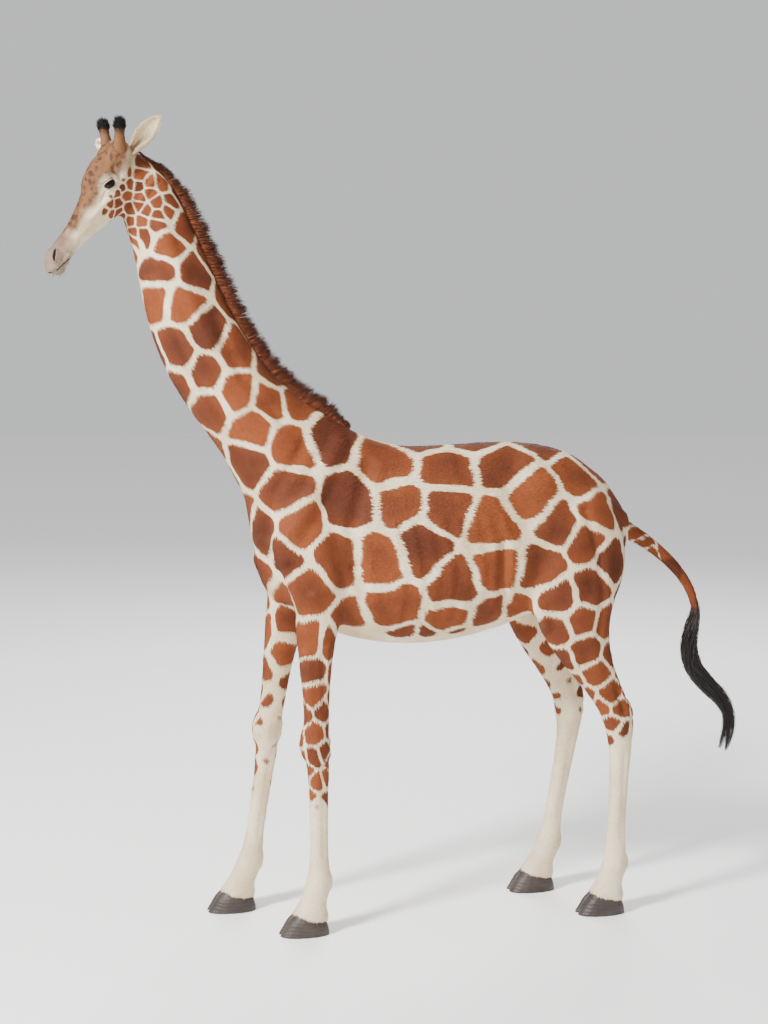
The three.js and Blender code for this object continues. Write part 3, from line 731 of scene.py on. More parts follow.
def patch_spacing():
    """How far apart the patches' centres are: widest on the trunk, closest on cheeks and legs."""
    return (
        share["trunk"] * (0.235 - 0.09 * rising(1.75 - z, 0, 0.3) - 0.05 * rising(y, 0.7, 1.15))
        + share["neck"] * (0.185 - 0.055 * rising(z, 3.1, 3.8))
        + share["head"] * (0.048 + 0.05 * rising(0.12 - ahead, 0, 0.15))
        + share["tail"] * 0.075
        + share["leg"] * (0.075 + 0.125 * rising(z, 0.8, 1.9))
    )


def across_from(side, spot):
    """The point and normal of the skin's side at (y, z), looked at from that side."""
    hit = skin_tree.ray_cast(Vector((side, *spot)), Vector((-side, 0, 0)))
    return (np.array(hit[0]), np.array(hit[1])) if hit[0] else None


def patch_centres(spacing, rng):
    """The centres and facings of the placed patches, and of those that fill what they leave."""
    found = [across_from(1, spot) for spot in PLACED_PATCHES]
    found += [across_from(-1, np.array(spot) + rng.normal(0, PATCH_SHIFT, 2)) for spot in PLACED_PATCHES]
    centres, facings = (np.array(column) for column in zip(*filter(None, found)))
    facings = list(facings)
    for i in rng.permutation(len(skin_at))[:PATCH_TRIES]:
        if ((centres - skin_at[i]) ** 2).sum(axis=1).min() > (spacing[i] * 0.86) ** 2:
            centres = np.vstack([centres, skin_at[i]])
            facings.append(skin_facing[i])
    return centres, np.array(facings)


def nearest_patches(points, centres, facings, soft, count=8):
    """How far each point is inside its patch, and which patch; soft rounds the corners where three meet."""
    tree = KDTree(len(centres))
    for i, centre in enumerate(centres.tolist()):
        tree.insert(centre, i)
    tree.balance()
    found = np.array([[hit[1] for hit in tree.find_n(point, count)] for point in points.tolist()])
    turned = 1 - (facings[found] * skin_facing[:, None]).sum(axis=2)
    away = ((centres[found] - points[:, None]) ** 2).sum(axis=2) * (1 + 0.9 * np.clip(turned - 0.3, 0, None))
    order = np.argsort(away, axis=1)
    away, found = np.take_along_axis(away, order, axis=1), np.take_along_axis(found, order, axis=1)
    apart = np.linalg.norm(centres[found[:, 1:]] - centres[found[:, :1]], axis=2)
    inside = (away[:, 1:] - away[:, :1]) / (2 * np.maximum(apart, 0.02))
    rounded = -soft * np.log(np.exp(-np.clip(inside, 0, 0.3) / soft[:, None]).sum(axis=1))
    return rounded, found[:, 0]


def fading():
    """Where patches shrink away: down the legs, on their inner sides, on face and belly."""
    height = z + 0.08 * waves(skin_at, 0.3, 31)
    fore = share["left_foreleg"] + share["right_foreleg"]
    hind = share["left_hindleg"] + share["right_hindleg"]
    inner = rising(-skin_facing[:, 0] * np.sign(x), 0.2, 0.8) * (share["leg"] > 0.5)
    fade = (
        fore * falling(height, 0.45, 0.80)
        + hind * falling(height, 0.72, 1.08)
        + share["head"] * np.maximum(rising(up + 0.12 * ahead, -0.02, 0.03), rising(ahead, 0.28, 0.42))
        + share["trunk"] * rising(-skin_facing[:, 2], 0.72, 0.95) * 0.8
        + inner * 0.5 * rising(1.9 - z, 0, 0.3)
    )
    return relaxed(np.clip(fade, 0, 1), pairs, 8)


def patch_marks():
    """How far each point is inside a patch, below 0 in the pale lines between, and that patch's own tone."""
    rng = np.random.default_rng(SEED)
    spacing = patch_spacing()
    centres, facings = patch_centres(spacing, rng)
    tones = rng.uniform(-1, 1, len(centres))
    wander = np.stack([waves(skin_at, 0.22, 5 + i, 3) for i in range(3)], axis=1)
    bent = skin_at + wander * (0.016 * np.minimum(spacing / 0.2, 1))[:, None]
    inside, patch = nearest_patches(bent, centres, facings, 0.034 * spacing)
    line = share["trunk"] * 0.019 + share["neck"] * 0.0165 + share["head"] * 0.006 + share["tail"] * 0.008
    line = np.minimum(line + share["leg"] * (0.009 + 0.006 * rising(z, 1.0, 1.8)), 0.082 * spacing)
    mark = inside - line * (1 + 0.25 * waves(skin_at, 0.35, 40))
    mark -= fading() * 0.035 + 0.2 * share["leg"] * falling(z, 0.2, 0.4)
    mark -= share["trunk"] * 0.05 * rising(-skin_facing[:, 2], 0.72, 0.97)
    mark -= share["trunk"] * 0.10 * falling(np.abs(x), 0.10, 0.20) * rising(1.71 - z, 0, 0.10)
    mark += share["tail"] * 0.12 * rising(1.86 - z, 0, 0.08)
    mark = np.minimum(mark, relaxed(mark, pairs, 10) + 0.002)  # specks too small for a patch fade away
    return mark, tones[patch]


def face_colours():
    """How brown, over brow and nose, and how grey, about the mouth, the face is."""
    blur = 0.02 * waves(skin_at, 0.12, 60)
    brown = share["head"] * rising(up + 0.10 * ahead - 0.3 * np.abs(out) + blur, -0.05, 0.03)
    brown *= rising(ahead, -0.06, 0.05)
    for seen in eye_views.values():
        brown *= 1 - 0.6 * falling(seen.radius, 0.035, 0.06)
    grey = share["head"] * rising(ahead + 0.3 * up + 0.01 * waves(skin_at, 0.05, 50), 0.46, 0.63)
    return brown, grey


lie = lie_of_coat()
hair = lengths_of_coat()
mark, tone = patch_marks()
brown, grey = face_colours()
lids = np.zeros(len(skin_at))
for seen in eye_views.values():
    lids = np.maximum(lids, seen.in_front * (seen.radius < 0.07) * falling(seen.spread, 1.7, 2.6))
    # Painted shade: the folds round the lids take part of the dark hairless skin's colour.
    bare = np.maximum(bare, seen.in_front * (seen.radius < 0.05) * 0.42 * np.minimum(lid_folds(seen), 1))
    bare = np.maximum(bare, seen.in_front * (seen.radius < 0.06) * falling(seen.spread, 1.14, 1.42))
SKIN_FIELDS = {"mark": mark, "tone": tone, "brown": brown, "grey": grey, "bare": bare, "deep": deep}
# How much of the skin's hair lies along each of the body's main ways, for the streaks in the coat's ground.
HAIR_WAYS = {
    "trunk": (0.0, 1.0, -0.25),
    "neck": (0.0, 0.62, -0.78),
    "head": tuple(AHEAD),
    "leg": (0.0, 0.05, -1.0),
}
store(
    skin.data,
    **SKIN_FIELDS,
    trunk_hair=share["trunk"],
    neck_hair=share["neck"],
    head_hair=share["head"],
    leg_hair=share["leg"] + share["tail"],
)

# ---- Hair as joined meshes ----

# A lock of short hair: sunk root, left and right edges and tip, as one closed sliver of four faces.
TUFT_FACES = np.array([(0, 2, 1), (1, 2, 3), (0, 3, 2), (0, 1, 3)])
TUFT_PATCH = np.array([(0, -0.0015), (-0.0013, -0.0004), (0.0013, -0.0004), (0, 0.0015)])  # on the bake's map
HAIR_SIDES = 3  # of a long hair's section
# What short hair grows on, with its finish, colours, way and lengths.
Hide = namedtuple("Hide", "thing finish fields lie hair")


def built(name, points, faces, finish, fields, patches, smooth=True):
    """A piece from arrays of points and triangles, with numbers per vertex and a map for baking."""
    mesh = bpy.data.meshes.new(name)
    mesh.vertices.add(len(points))
    mesh.vertices.foreach_set("co", points.astype(np.float32).ravel())
    mesh.loops.add(faces.size)
    mesh.loops.foreach_set("vertex_index", faces.astype(np.int32).ravel())
    mesh.polygons.add(len(faces))
    mesh.polygons.foreach_set("loop_start", np.arange(0, faces.size, 3, dtype=np.int32))
    mesh.polygons.foreach_set("use_smooth", np.full(len(faces), smooth))
    mesh.update(calc_edges=True)
    store(mesh, **fields)
    layer = mesh.uv_layers.new(name="OFBake")
    layer.data.foreach_set("uv", patches[faces.ravel()].astype(np.float32).ravel())
    mesh.materials.append(finish)
    piece = linked(name, mesh)
    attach(piece, "root")
    return piece


def about_line(points, line, zero):
    """Where points lie about a bent line: shares of its length and of a turn, half of it at the zero way."""
    line = np.array(line, float)
    zero = np.array(zero, float)
    starts = distances(line)
    best = np.full(len(points), np.inf)
    along = np.zeros(len(points))
    around = np.zeros(len(points))
    for i, length in enumerate(np.diff(starts)):
        run = (line[i + 1] - line[i]) / length
        passed = (points - line[i]) @ run
        if i:
            passed = np.maximum(passed, 0)
        if i < len(line) - 2:
            passed = np.minimum(passed, length)
        off = points - line[i] - passed[:, None] * run
        gap = np.linalg.norm(off, axis=1)
        first = flattened(zero, run)
        turn = np.arctan2(off @ np.cross(run, first), off @ first) / (2 * math.pi) + 0.5
        closer = gap < best
        best = np.where(closer, gap, best)
        along = np.where(closer, starts[i] + passed, along)
        around = np.where(closer, turn, around)
    return along / starts[-1], around


class Scatter:
    """Even random spots on the wanted triangles of a mesh."""

    def __init__(self, mesh, wanted, count, rng):
        corner = triangles(mesh)
        corner = corner[wanted[corner].all(axis=1)]
        a, b, c = corners(mesh)[corner].transpose(1, 0, 2)
        reach = np.cumsum(np.linalg.norm(np.cross(b - a, c - a), axis=1))
        draws = (np.arange(count) + rng.random(count)) / count * reach[-1]
        self.corner = corner[np.searchsorted(reach, draws)]
        first, second = rng.random((2, count))
        outside = first + second > 1
        first, second = np.where(outside, 1 - first, first), np.where(outside, 1 - second, second)
        self.shares = np.stack([1 - first - second, first, second], axis=1)
        self.root = self.read(corners(mesh))
        self.outward = unit(self.read(normals(mesh)))

    def read(self, values):
        """Values that are kept per vertex, at the spots."""
        picked = values[self.corner]
        return (picked * self.shares.reshape(self.shares.shape + (1,) * (picked.ndim - 2))).sum(axis=1)


def coat(name, hide, wanted, count, wrap, seed, lift=0.09, width=0.185):
    """Short tufts on part of a hide, coloured as at their roots; wrap is the line and way their map is on."""
    rng = np.random.default_rng(SEED + seed)
    spots = Scatter(hide.thing.data, wanted, count, rng)
    root, outward = spots.root, spots.outward
    flow = flattened(unit(spots.read(hide.lie) + 0.13 * rng.normal(size=(count, 3))), outward)
    across = np.cross(outward, flow)
    long = (spots.read(hide.hair) * rng.uniform(0.7, 1.3, count))[:, None]
    wide = long * width * rng.uniform(0.75, 1.25, (count, 1))
    rise = lift * rng.uniform(0.5, 1.5, (count, 1))
    shoulder = root + flow * 0.30 * long + outward * rise * 0.45 * long
    tip = root + flow * long + outward * rise * 0.80 * long
    sliver = [root - outward * 0.07 * long, shoulder + across * wide / 2, shoulder - across * wide / 2, tip]
    faces = (TUFT_FACES + np.arange(count)[:, None, None] * 4).reshape(-1, 3)
    along, around = about_line(root, *wrap)
    along = (along - along.min()) / (np.ptp(along) + 1e-6)
    patches = (0.01 + 0.98 * np.stack([around, along], axis=1))[:, None] + TUFT_PATCH
    fields = {key: np.repeat(spots.read(values), 4) for key, values in hide.fields.items()}
    fields["shade"] = np.repeat(rng.uniform(-1, 1, count), 4)
    points = np.stack(sliver, axis=1).reshape(-1, 3)
    return built(name, points, faces, hide.finish, fields, patches.reshape(-1, 2), smooth=False)


def springing(roots, ways, lengths, bow):
    """Hairs that set out one way and bow another: gives where all of them are at a share of their lengths."""
    return lambda share: roots + ways * (lengths * share)[:, None] + bow * share**2


def strands(name, at, radius, finish, seed, map_spots, segments, taper=0.25):
    """Long hairs as closed tapering prisms; at(share) gives where all are at that share of their lengths."""
    rng = np.random.default_rng(SEED + seed)
    count = len(radius)
    shares = np.linspace(0, 1, segments + 1)
    path = np.stack([at(share) for share in shares], axis=1)
    run = unit(np.gradient(path, axis=1))
    side = unit(np.cross(run, unit(rng.normal(size=(count, 1, 3)))))
    other = np.cross(run, side)
    thick = (radius[:, None] * (1 - (1 - taper) * shares**1.5))[:, :, None]
    turns = [2 * math.pi * i / HAIR_SIDES for i in range(HAIR_SIDES)]
    rings = [path + (side * math.cos(turn) + other * math.sin(turn)) * thick for turn in turns]
    points = np.stack(rings, axis=2).reshape(-1, 3)
    per = len(shares) * HAIR_SIDES
    faces = []
    for level in range(segments):
        for i in range(HAIR_SIDES):
            a, b = level * HAIR_SIDES + i, level * HAIR_SIDES + (i + 1) % HAIR_SIDES
            faces += [(a, b, b + HAIR_SIDES), (a, b + HAIR_SIDES, a + HAIR_SIDES)]
    faces += [(0, 2, 1), (per - 3, per - 2, per - 1)]
    faces = (np.array(faces) + np.arange(count)[:, None, None] * per).reshape(-1, 3)
    fields = {
        "tip": np.tile(np.repeat(shares, HAIR_SIDES), count),
        "shade": np.repeat(rng.uniform(-1, 1, count), per),
    }
    patch = [np.tile([-0.0013, 0.0013, 0.0], len(shares)), np.repeat((shares - 0.5) * 0.003, HAIR_SIDES)]
    patches = (map_spots[:, None] + np.stack(patch, axis=1)).reshape(-1, 2)
    return built(name, points, faces, finish, fields, patches)


# ---- Finishes ----


class Value:
    """A number or colour on its way through a finish; arithmetic on it adds Math nodes."""

    def __init__(self, finish, socket):
        self.finish = finish
        self.socket = socket

    def __add__(self, other):
        return self.finish.maths("ADD", self, other)

    __radd__ = __add__

    def __sub__(self, other):
        return self.finish.maths("SUBTRACT", self, other)

    def __rsub__(self, other):
        return self.finish.maths("SUBTRACT", other, self)

    def __mul__(self, other):
        return self.finish.maths("MULTIPLY", self, other)

    __rmul__ = __mul__


class Finish:
    """One material: its nodes are added by node(), and shown() sets the surface."""

    def __init__(self, name):
        self.material = bpy.data.materials.new(name)
        self.material.use_nodes = True
        self.tree = self.material.node_tree
        self.surface = self.tree.nodes["Principled BSDF"]

    def node(self, kind, settings=None, output=0, **values):
        """Adds a node with its settings, then its values or links, and gives one of its outputs."""
        node = self.tree.nodes.new(f"ShaderNode{kind}")
        for key, setting in (settings or {}).items():
            setattr(node, key, setting)
        for key, value in values.items():
            socket = node.inputs[int(key[2:])] if key.startswith("in") else node.inputs[key.replace("_", " ")]
            self.feed(socket, value)
        return Value(self, node.outputs[output])

    def feed(self, socket, value):
        """Links or sets one input."""
        if isinstance(value, Value):
            self.tree.links.new(value.socket, socket)
        else:
            socket.default_value = value

    def maths(self, operation, first, second):
        """One sum of two numbers."""
        return self.node("Math", {"operation": operation}, in0=first, in1=second)

    def read(self, name):
        """A number kept on the mesh."""
        return self.node("Attribute", {"attribute_name": name}, output=2)

    def spot(self):
        """The place on the object."""
        return self.node("TexCoord", output=3)

    def noise(self, scale, detail=2.0, vector=None):
        """Cloudy numbers about 0.5."""
        return self.node("TexNoise", Vector=vector or self.spot(), Scale=scale, Detail=detail)

    def step(self, value, start, end):
        """0 before start, 1 after end."""
        settings = {"clamp": True, "interpolation_type": "SMOOTHSTEP"}
        return self.node("MapRange", settings, in0=value, in1=start, in2=end)

    def mix(self, share, first, second):
        """The first colour at 0, the second at 1."""
        return self.node("Mix", {"data_type": "RGBA"}, output=2, in0=share, in6=first, in7=second)

    def scaled(self, colour, by):
        """A colour made lighter or darker."""
        return self.node("VectorMath", {"operation": "SCALE"}, in0=colour, in3=by)

    def streaks(self, way, wide, long):
        """Noise drawn out along one way, as hair is."""
        turn = Vector(way).to_track_quat("Z", "Y").to_euler()
        sizes = (wide, wide, long)
        drawn_out = {"vector_type": "TEXTURE"}
        lying = self.node("Mapping", drawn_out, Vector=self.spot(), Rotation=turn, Scale=sizes)
        return self.noise(1.0, 2.0, lying)

    def bump(self, height, strength, distance):
        """The normal of a surface with that relief."""
        return self.node("Bump", Height=height, Strength=strength, Distance=distance)

    def shown(self, colour, roughness, normal=None, **constants):
        """Sets the surface and gives the finished material."""
        self.feed(self.surface.inputs["Base Color"], colour)
        self.feed(self.surface.inputs["Roughness"], roughness)
        if normal:
            self.feed(self.surface.inputs["Normal"], normal)
        for key, value in constants.items():
            self.surface.inputs[key.replace("_", " ")].default_value = value
        return self.material


def colour(red, green, blue):
    """A colour from the 0 to 255 that a paint chart gives."""
    return (*(((c / 255 + 0.055) / 1.055) ** 2.4 for c in (red, green, blue)), 1.0)


CHESTNUT, LIVER = colour(132, 67, 33), colour(84, 40, 22)
CREAM, STRAW = colour(236, 220, 190), colour(214, 190, 150)
FACE_BROWN, FACE_DARK = colour(116, 78, 48), colour(72, 43, 26)
# The middle of these also darkens the folds round the lids as painted shade; the last is near-black painted
# shade deep in the lips' groove and the nostrils.
MUZZLE, BARE_SKIN_AND_CREASE_SHADE, DEEP_SHADE = colour(128, 106, 92), colour(52, 40, 36), colour(14, 10, 9)
HORN_BLACK, HORN_GREY, RIM_HORN = colour(46, 39, 35), colour(74, 63, 54), colour(108, 88, 70)
GROUND_HAIR = (0.0017, 0.016)  # how wide and how long a streak of the ground's hair is


def coat_colour(finish, fine):
    """Chestnut patches parted by cream lines, a mottled brown face, a grey muzzle, dark hairless skin, and
    painted shade in the folds round the lids, the groove between the lips and the nostrils.
    """
    broad = finish.noise(5.0, 3.0)
    mark, tone = finish.read("mark"), finish.read("tone")
    edge = finish.step(mark + (fine - 0.5) * 0.007, -0.0022, 0.0022)
    dark = tone * 0.36 + broad * 0.9 + finish.step(mark, 0.0, 0.07) * 0.25 - 0.1
    patch = finish.mix(finish.step(dark, 0.0, 1.0), CHESTNUT, LIVER)
    line = finish.mix(finish.step(broad + fine * 0.3, 0.4, 0.95), CREAM, STRAW)
    shown = finish.mix(edge, line, patch)
    mottle = finish.step(finish.noise(34.0, 4.0) + tone * 0.03, 0.44, 0.66)
    mottled = finish.mix(mottle, FACE_BROWN, FACE_DARK)
    shown = finish.mix(finish.read("brown") * (1 - edge * 0.6), shown, mottled)
    shown = finish.mix(finish.read("grey") * 0.85, shown, MUZZLE)
    # Dark hairless skin at lips, nostrils and lid rims, and painted shade in the folds round the lids.
    shown = finish.mix(finish.read("bare"), shown, BARE_SKIN_AND_CREASE_SHADE)
    # Painted shade: near-black where the lips' groove and the nostrils lie deepest.
    return finish.mix(finish.read("deep"), shown, DEEP_SHADE)


def tuft_finish():
    """The coat's tufts, each a little lighter or darker than the next."""
    finish = Finish("short_coat")
    fine = finish.noise(420.0, 3.0)
    shown = finish.scaled(coat_colour(finish, fine), finish.read("shade") * 0.13 + 1.02)
    rough = 0.62 + fine * 0.2
    return finish.shown(shown, rough, Sheen_Weight=0.04, Sheen_Roughness=0.4, Specular_IOR_Level=0.2)


def ground_finish():
    """The skin under the tufts: flat hair as streaks in colour and bump, none on hairless skin and none in
    the painted shade of the lid folds.
    """
    finish = Finish("short_coat_ground")
    fine = finish.noise(420.0, 3.0)
    shown = coat_colour(finish, fine)
    height = 0.0
    for part, way in HAIR_WAYS.items():
        height = finish.read(f"{part}_hair") * finish.streaks(way, *GROUND_HAIR) + height
    covered = 1 - finish.read("bare")
    shown = finish.scaled(shown, (height - 0.5) * covered * 1.1 + 0.94)
    rough = finish.read("bare") * -0.25 + finish.read("deep") * 0.45 + 0.75
    height = height * covered + fine * 0.15
    return finish.shown(shown, rough, finish.bump(height, 0.9, 0.0022), Specular_IOR_Level=0.24)


def hair_finish(name, root, tip, start, end, roughness=0.5, gloss=0.4, vary=0.25):
    """Long hair whose colour changes from root to tip."""
    finish = Finish(name)
    change = finish.step(finish.read("tip") + finish.read("shade") * 0.12, start, end)
    shown = finish.scaled(finish.mix(change, root, tip), finish.read("shade") * vary + 1.0)
    return finish.shown(shown, roughness, Specular_IOR_Level=gloss)


def hoof_finish():
    """Dark satin horn with growth rings and fine upright grain."""
    finish = Finish("hoof_horn")
    tall = finish.read("tall")
    wobble = finish.noise(9.0, 2.0)
    rings = finish.node("Math", {"operation": "SINE"}, in0=(tall + wobble * 0.25) * 42)
    grain = finish.noise(1.0, 2.0, finish.node("Mapping", Vector=finish.spot(), Scale=(420.0, 420.0, 30.0)))
    shown = finish.mix(finish.step(wobble * 0.6 + grain * 0.5, 0.35, 0.85), HORN_BLACK, HORN_GREY)
    shown = finish.mix(finish.step(tall, 0.8, 1.0) * 0.6, shown, RIM_HORN)
    shown = finish.scaled(shown, rings * 0.08 + 0.95)
    relief = finish.bump(rings * 0.4 + grain * 0.5, 0.6, 0.0016)
    return finish.shown(shown, 0.42 + grain * 0.2, relief, Specular_IOR_Level=0.45)


def eye_finish():
    """A wet dark eye: near-black pupil lying level in a dark brown iris."""
    finish = Finish("eye_gloss")
    turn, rise = finish.read("turn"), finish.read("rise")
    fibres = finish.noise(900.0, 2.0)
    iris = finish.mix(finish.step(fibres, 0.3, 0.7), colour(30, 16, 9), colour(50, 27, 14))
    pupil = finish.step(turn * turn * 3.4 + rise * rise * 15 + (fibres - 0.5) * 0.12, 0.8, 1.15)
    white = finish.step(turn * turn + rise * rise, 0.55, 0.72)
    shown = finish.mix(white, finish.mix(pupil, colour(5, 4, 4), iris), colour(22, 14, 11))
    return finish.shown(shown, 0.05, Specular_IOR_Level=0.17)


def paint_finish(name, red, green, blue, roughness):
    """A plain even finish for the room."""
    return Finish(name).shown(colour(red, green, blue), roughness)


SKIN_FINISH = ground_finish()
COAT_FINISH = tuft_finish()
MANE_FINISH = hair_finish("mane_hair", colour(128, 66, 34), colour(72, 34, 20), 0.35, 1.0, 0.55)
TAIL_FINISH = hair_finish("tail_hair", colour(58, 38, 28), colour(30, 24, 22), 0.0, 0.3, 0.38, 0.5, 0.6)
HORN_FINISH = hair_finish("horn_hair", colour(120, 80, 50), colour(28, 22, 19), 0.66, 0.80, 0.7, 0.25)
KNOB_FINISH = hair_finish("knob_hair", colour(28, 20, 17), colour(15, 12, 11), 0.0, 0.8, 0.6, 0.2)
HOOF_FINISH = hoof_finish()
EYE_FINISH = eye_finish()
LASH_FINISH = hair_finish("lash_hair", colour(15, 11, 10), colour(12, 9, 8), 0, 1, 0.5, 0.2)

# ---- The coat over the skin ----

TRUNK_LINE = ((0, -0.85, 1.95), (0, 1.2, 2.0))
NECK_LINE = ((0, -0.68, 2.38), (0, -1.02, 2.85), (0, -1.28, 3.42), (0, -1.45, 3.85))
HEAD_LINE = (from_head(-0.05, -0.05, 0), from_head(0.35, -0.05, 0), from_head(0.74, -0.09, 0))
TAIL_LINE = (
    (0, 1.110, 2.052), (0, 1.228, 1.990), (0.003, 1.345, 1.915), (0.008, 1.462, 1.815), (0.015, 1.555, 1.695),
    (0.022, 1.600, 1.560), (0.028, 1.580, 1.440),
)  # fmt: skip
# The middle lines of the legs, as (out, back from the root, height).
LEG_LINES = {
    "fore": ((0.243, -0.06, 0.08), (0.231, 0, 0.55), (0.218, 0, 1.0), (0.203, 0, 1.5), (0.17, 0, 2.2)),
    "hind": ((0.239, 0.12, 0.08), (0.226, 0.2, 0.55), (0.214, 0.2, 1.0), (0.202, 0, 1.5), (0.16, -0.01, 2.2)),
}


def grow_coat():
    """The short coat of the whole body, piece by piece, with the pieces a little over each other's edges."""
    hide = Hide(skin, COAT_FINISH, SKIN_FIELDS, lie, hair)
    owner = np.array(FLESH)[body.argmax(axis=1)]
    pieces = [
        ("head_coat", owner == "head", 36000, (HEAD_LINE, -UP)),
        ("tail_coat", owner == "tail", 4200, (TAIL_LINE, (1, 0, 0))),
    ]
    for side, k in SIDES.items():
        half = k * x >= -0.008
        around_trunk, around_neck = (TRUNK_LINE, (-k, 0, 0)), (NECK_LINE, (-k, 0, 0))
        pieces += [
            (f"{side}_shoulder_coat", (owner == "trunk") & half & (y < 0.21), 28500, around_trunk),
            (f"{side}_flank_coat", (owner == "trunk") & half & (y > 0.19), 28500, around_trunk),
            (f"{side}_neck_coat", (owner == "neck") & half, 22000, around_neck),
        ]
    for leg in LEGS:
        side, end = side_and_end(leg)
        middle = [on_leg(leg, *spot) for spot in LEG_LINES[end]]
        pieces.append((f"{leg}_coat", owner == leg, 23000, (middle, (-SIDES[side], 0, 0))))
    hairy = (bare < 0.3) & (deep < 0.05) & (lids < 0.6)
    for seed, (name, wanted, count, wrap) in enumerate(pieces):
        wanted = (wanted * 1.0 + neighbours_mean(wanted * 1.0, pairs)) > 0
        coat(name, hide, wanted & hairy, count, wrap, seed, 0.07 if name == "head_coat" else 0.09)


skin.data.materials.clear()
skin.data.materials.append(SKIN_FINISH)
skin.data.polygons.foreach_set("material_index", np.zeros(len(skin.data.polygons), np.int32))
grow_coat()
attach(skin, "root")
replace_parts(skin, *FLESH)

# ---- Mane ----

MANE_HAIRS = 8600
MANE_HALF = 0.017  # half the width of the crest that the mane stands on
FORELOCK = 0.165  # how far low hair runs on from the mane's top to between the ears


def grow_mane():
    """The mane: short stiff hair along the neck's crest, as tall as the CAD mane, in slight waves."""
    rng = np.random.default_rng(SEED + 100)
    low, high = (np.array(corner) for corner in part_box("mane"))
    mane_tree = surface(NODES["mane"].data)
    crest = []
    for back in np.linspace(low[1] - FORELOCK, high[1] - 0.01, 90):
        hit = skin_tree.ray_cast(Vector((0, back, high[2] + 0.5)), Vector((0, 0, -1)))
        crest.append((*hit[0], *hit[1]))
    crest = np.array(crest)
    run = distances(crest[:, :3])
    where = np.sort(rng.uniform(0, run[-1], MANE_HAIRS))
    on_crest = np.stack([np.interp(where, run, column) for column in crest.T], axis=1)
    roots, outward = on_crest[:, :3], unit(on_crest[:, 3:] * (0, 1, 1))
    sideways = rng.triangular(-1, 0, 1, MANE_HAIRS)
    from_top = roots[:, 1] - low[1]
    roots[:, 0] += MANE_HALF * sideways * (0.4 + 0.6 * rising(from_top, -FORELOCK, 0.04))
    roots -= outward * (0.012 + 0.006 * np.abs(sideways))[:, None]
    toward_rump = np.stack([0 * where, -outward[:, 2], outward[:, 1]], axis=1)
    toward_rump *= np.sign(toward_rump[:, 1:2])
    wave = waves(roots, 0.09, 71, 2)
    lean = 0.16 + 0.12 * wave + 0.5 * falling(from_top, -0.06, 0.05)
    astray = 0.11 * rng.normal(size=(MANE_HAIRS, 3)) * (1, 0.8, 0.8)
    ways = unit(outward + astray + toward_rump * lean[:, None])
    ways[:, 0] += 0.10 * sideways
    reach = np.zeros(MANE_HAIRS)
    for i, (root, way) in enumerate(zip(roots, outward)):
        hit = mane_tree.ray_cast(Vector(root + way * 0.25), Vector(-way))
        if hit[0]:
            reach[i] = 0.25 - hit[3]
    reach = np.where(from_top < 0.03, 0.026 + 0.05 * rising(from_top, -FORELOCK, 0.03), reach)
    grown = reach > 0.02
    reach = np.clip(reach * (0.90 + 0.08 * wave) * rng.uniform(0.80, 1.05, MANE_HAIRS), 0.02, 0.12)
    bow = toward_rump * (0.012 + 0.008 * wave)[:, None]
    map_spots = np.stack([(roots[:, 0] / 0.040 + 0.5) * 0.06 + 0.02, 0.01 + 0.98 * where / run[-1]], axis=1)
    hairs = springing(roots[grown], ways[grown], reach[grown], bow[grown])
    radius = rng.uniform(0.0011, 0.0019, int(grown.sum()))
    return strands("mane_hair", hairs, radius, MANE_FINISH, 101, map_spots[grown], 2)


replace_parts(grow_mane(), "mane")

# ---- The tail's long lock ----

# The middle line of the lock and how wide it hangs: x, y, z and radius.
LOCK = (
    (0.015, 1.560, 1.690, 0.030), (0.022, 1.600, 1.580, 0.033), (0.029, 1.576, 1.450, 0.043),
    (0.036, 1.562, 1.360, 0.050), (0.044, 1.586, 1.255, 0.053), (0.052, 1.660, 1.160, 0.051),
    (0.058, 1.742, 1.080, 0.046), (0.062, 1.790, 0.980, 0.036), (0.064, 1.780, 0.880, 0.024),
    (0.065, 1.752, 0.795, 0.010),
)  # fmt: skip
TAIL_HAIRS, TAIL_STRANDS = 1250, 22


def curve(spots, count):
    """A smooth line of that many points through a few spots."""
    spots = np.array(spots, float)
    at = distances(spots[:, :3])
    slope = np.gradient(spots, at, axis=0)
    where = np.linspace(0, at[-1], count)
    i = np.clip(np.searchsorted(at, where) - 1, 0, len(at) - 2)
    span = (at[i + 1] - at[i])[:, None]
    t = (where - at[i])[:, None] / span
    return (
        (2 * t**3 - 3 * t**2 + 1) * spots[i]
        + (t**3 - 2 * t**2 + t) * span * slope[i]
        + (3 * t**2 - 2 * t**3) * spots[i + 1]
        + (t**3 - t**2) * span * slope[i + 1]
    )


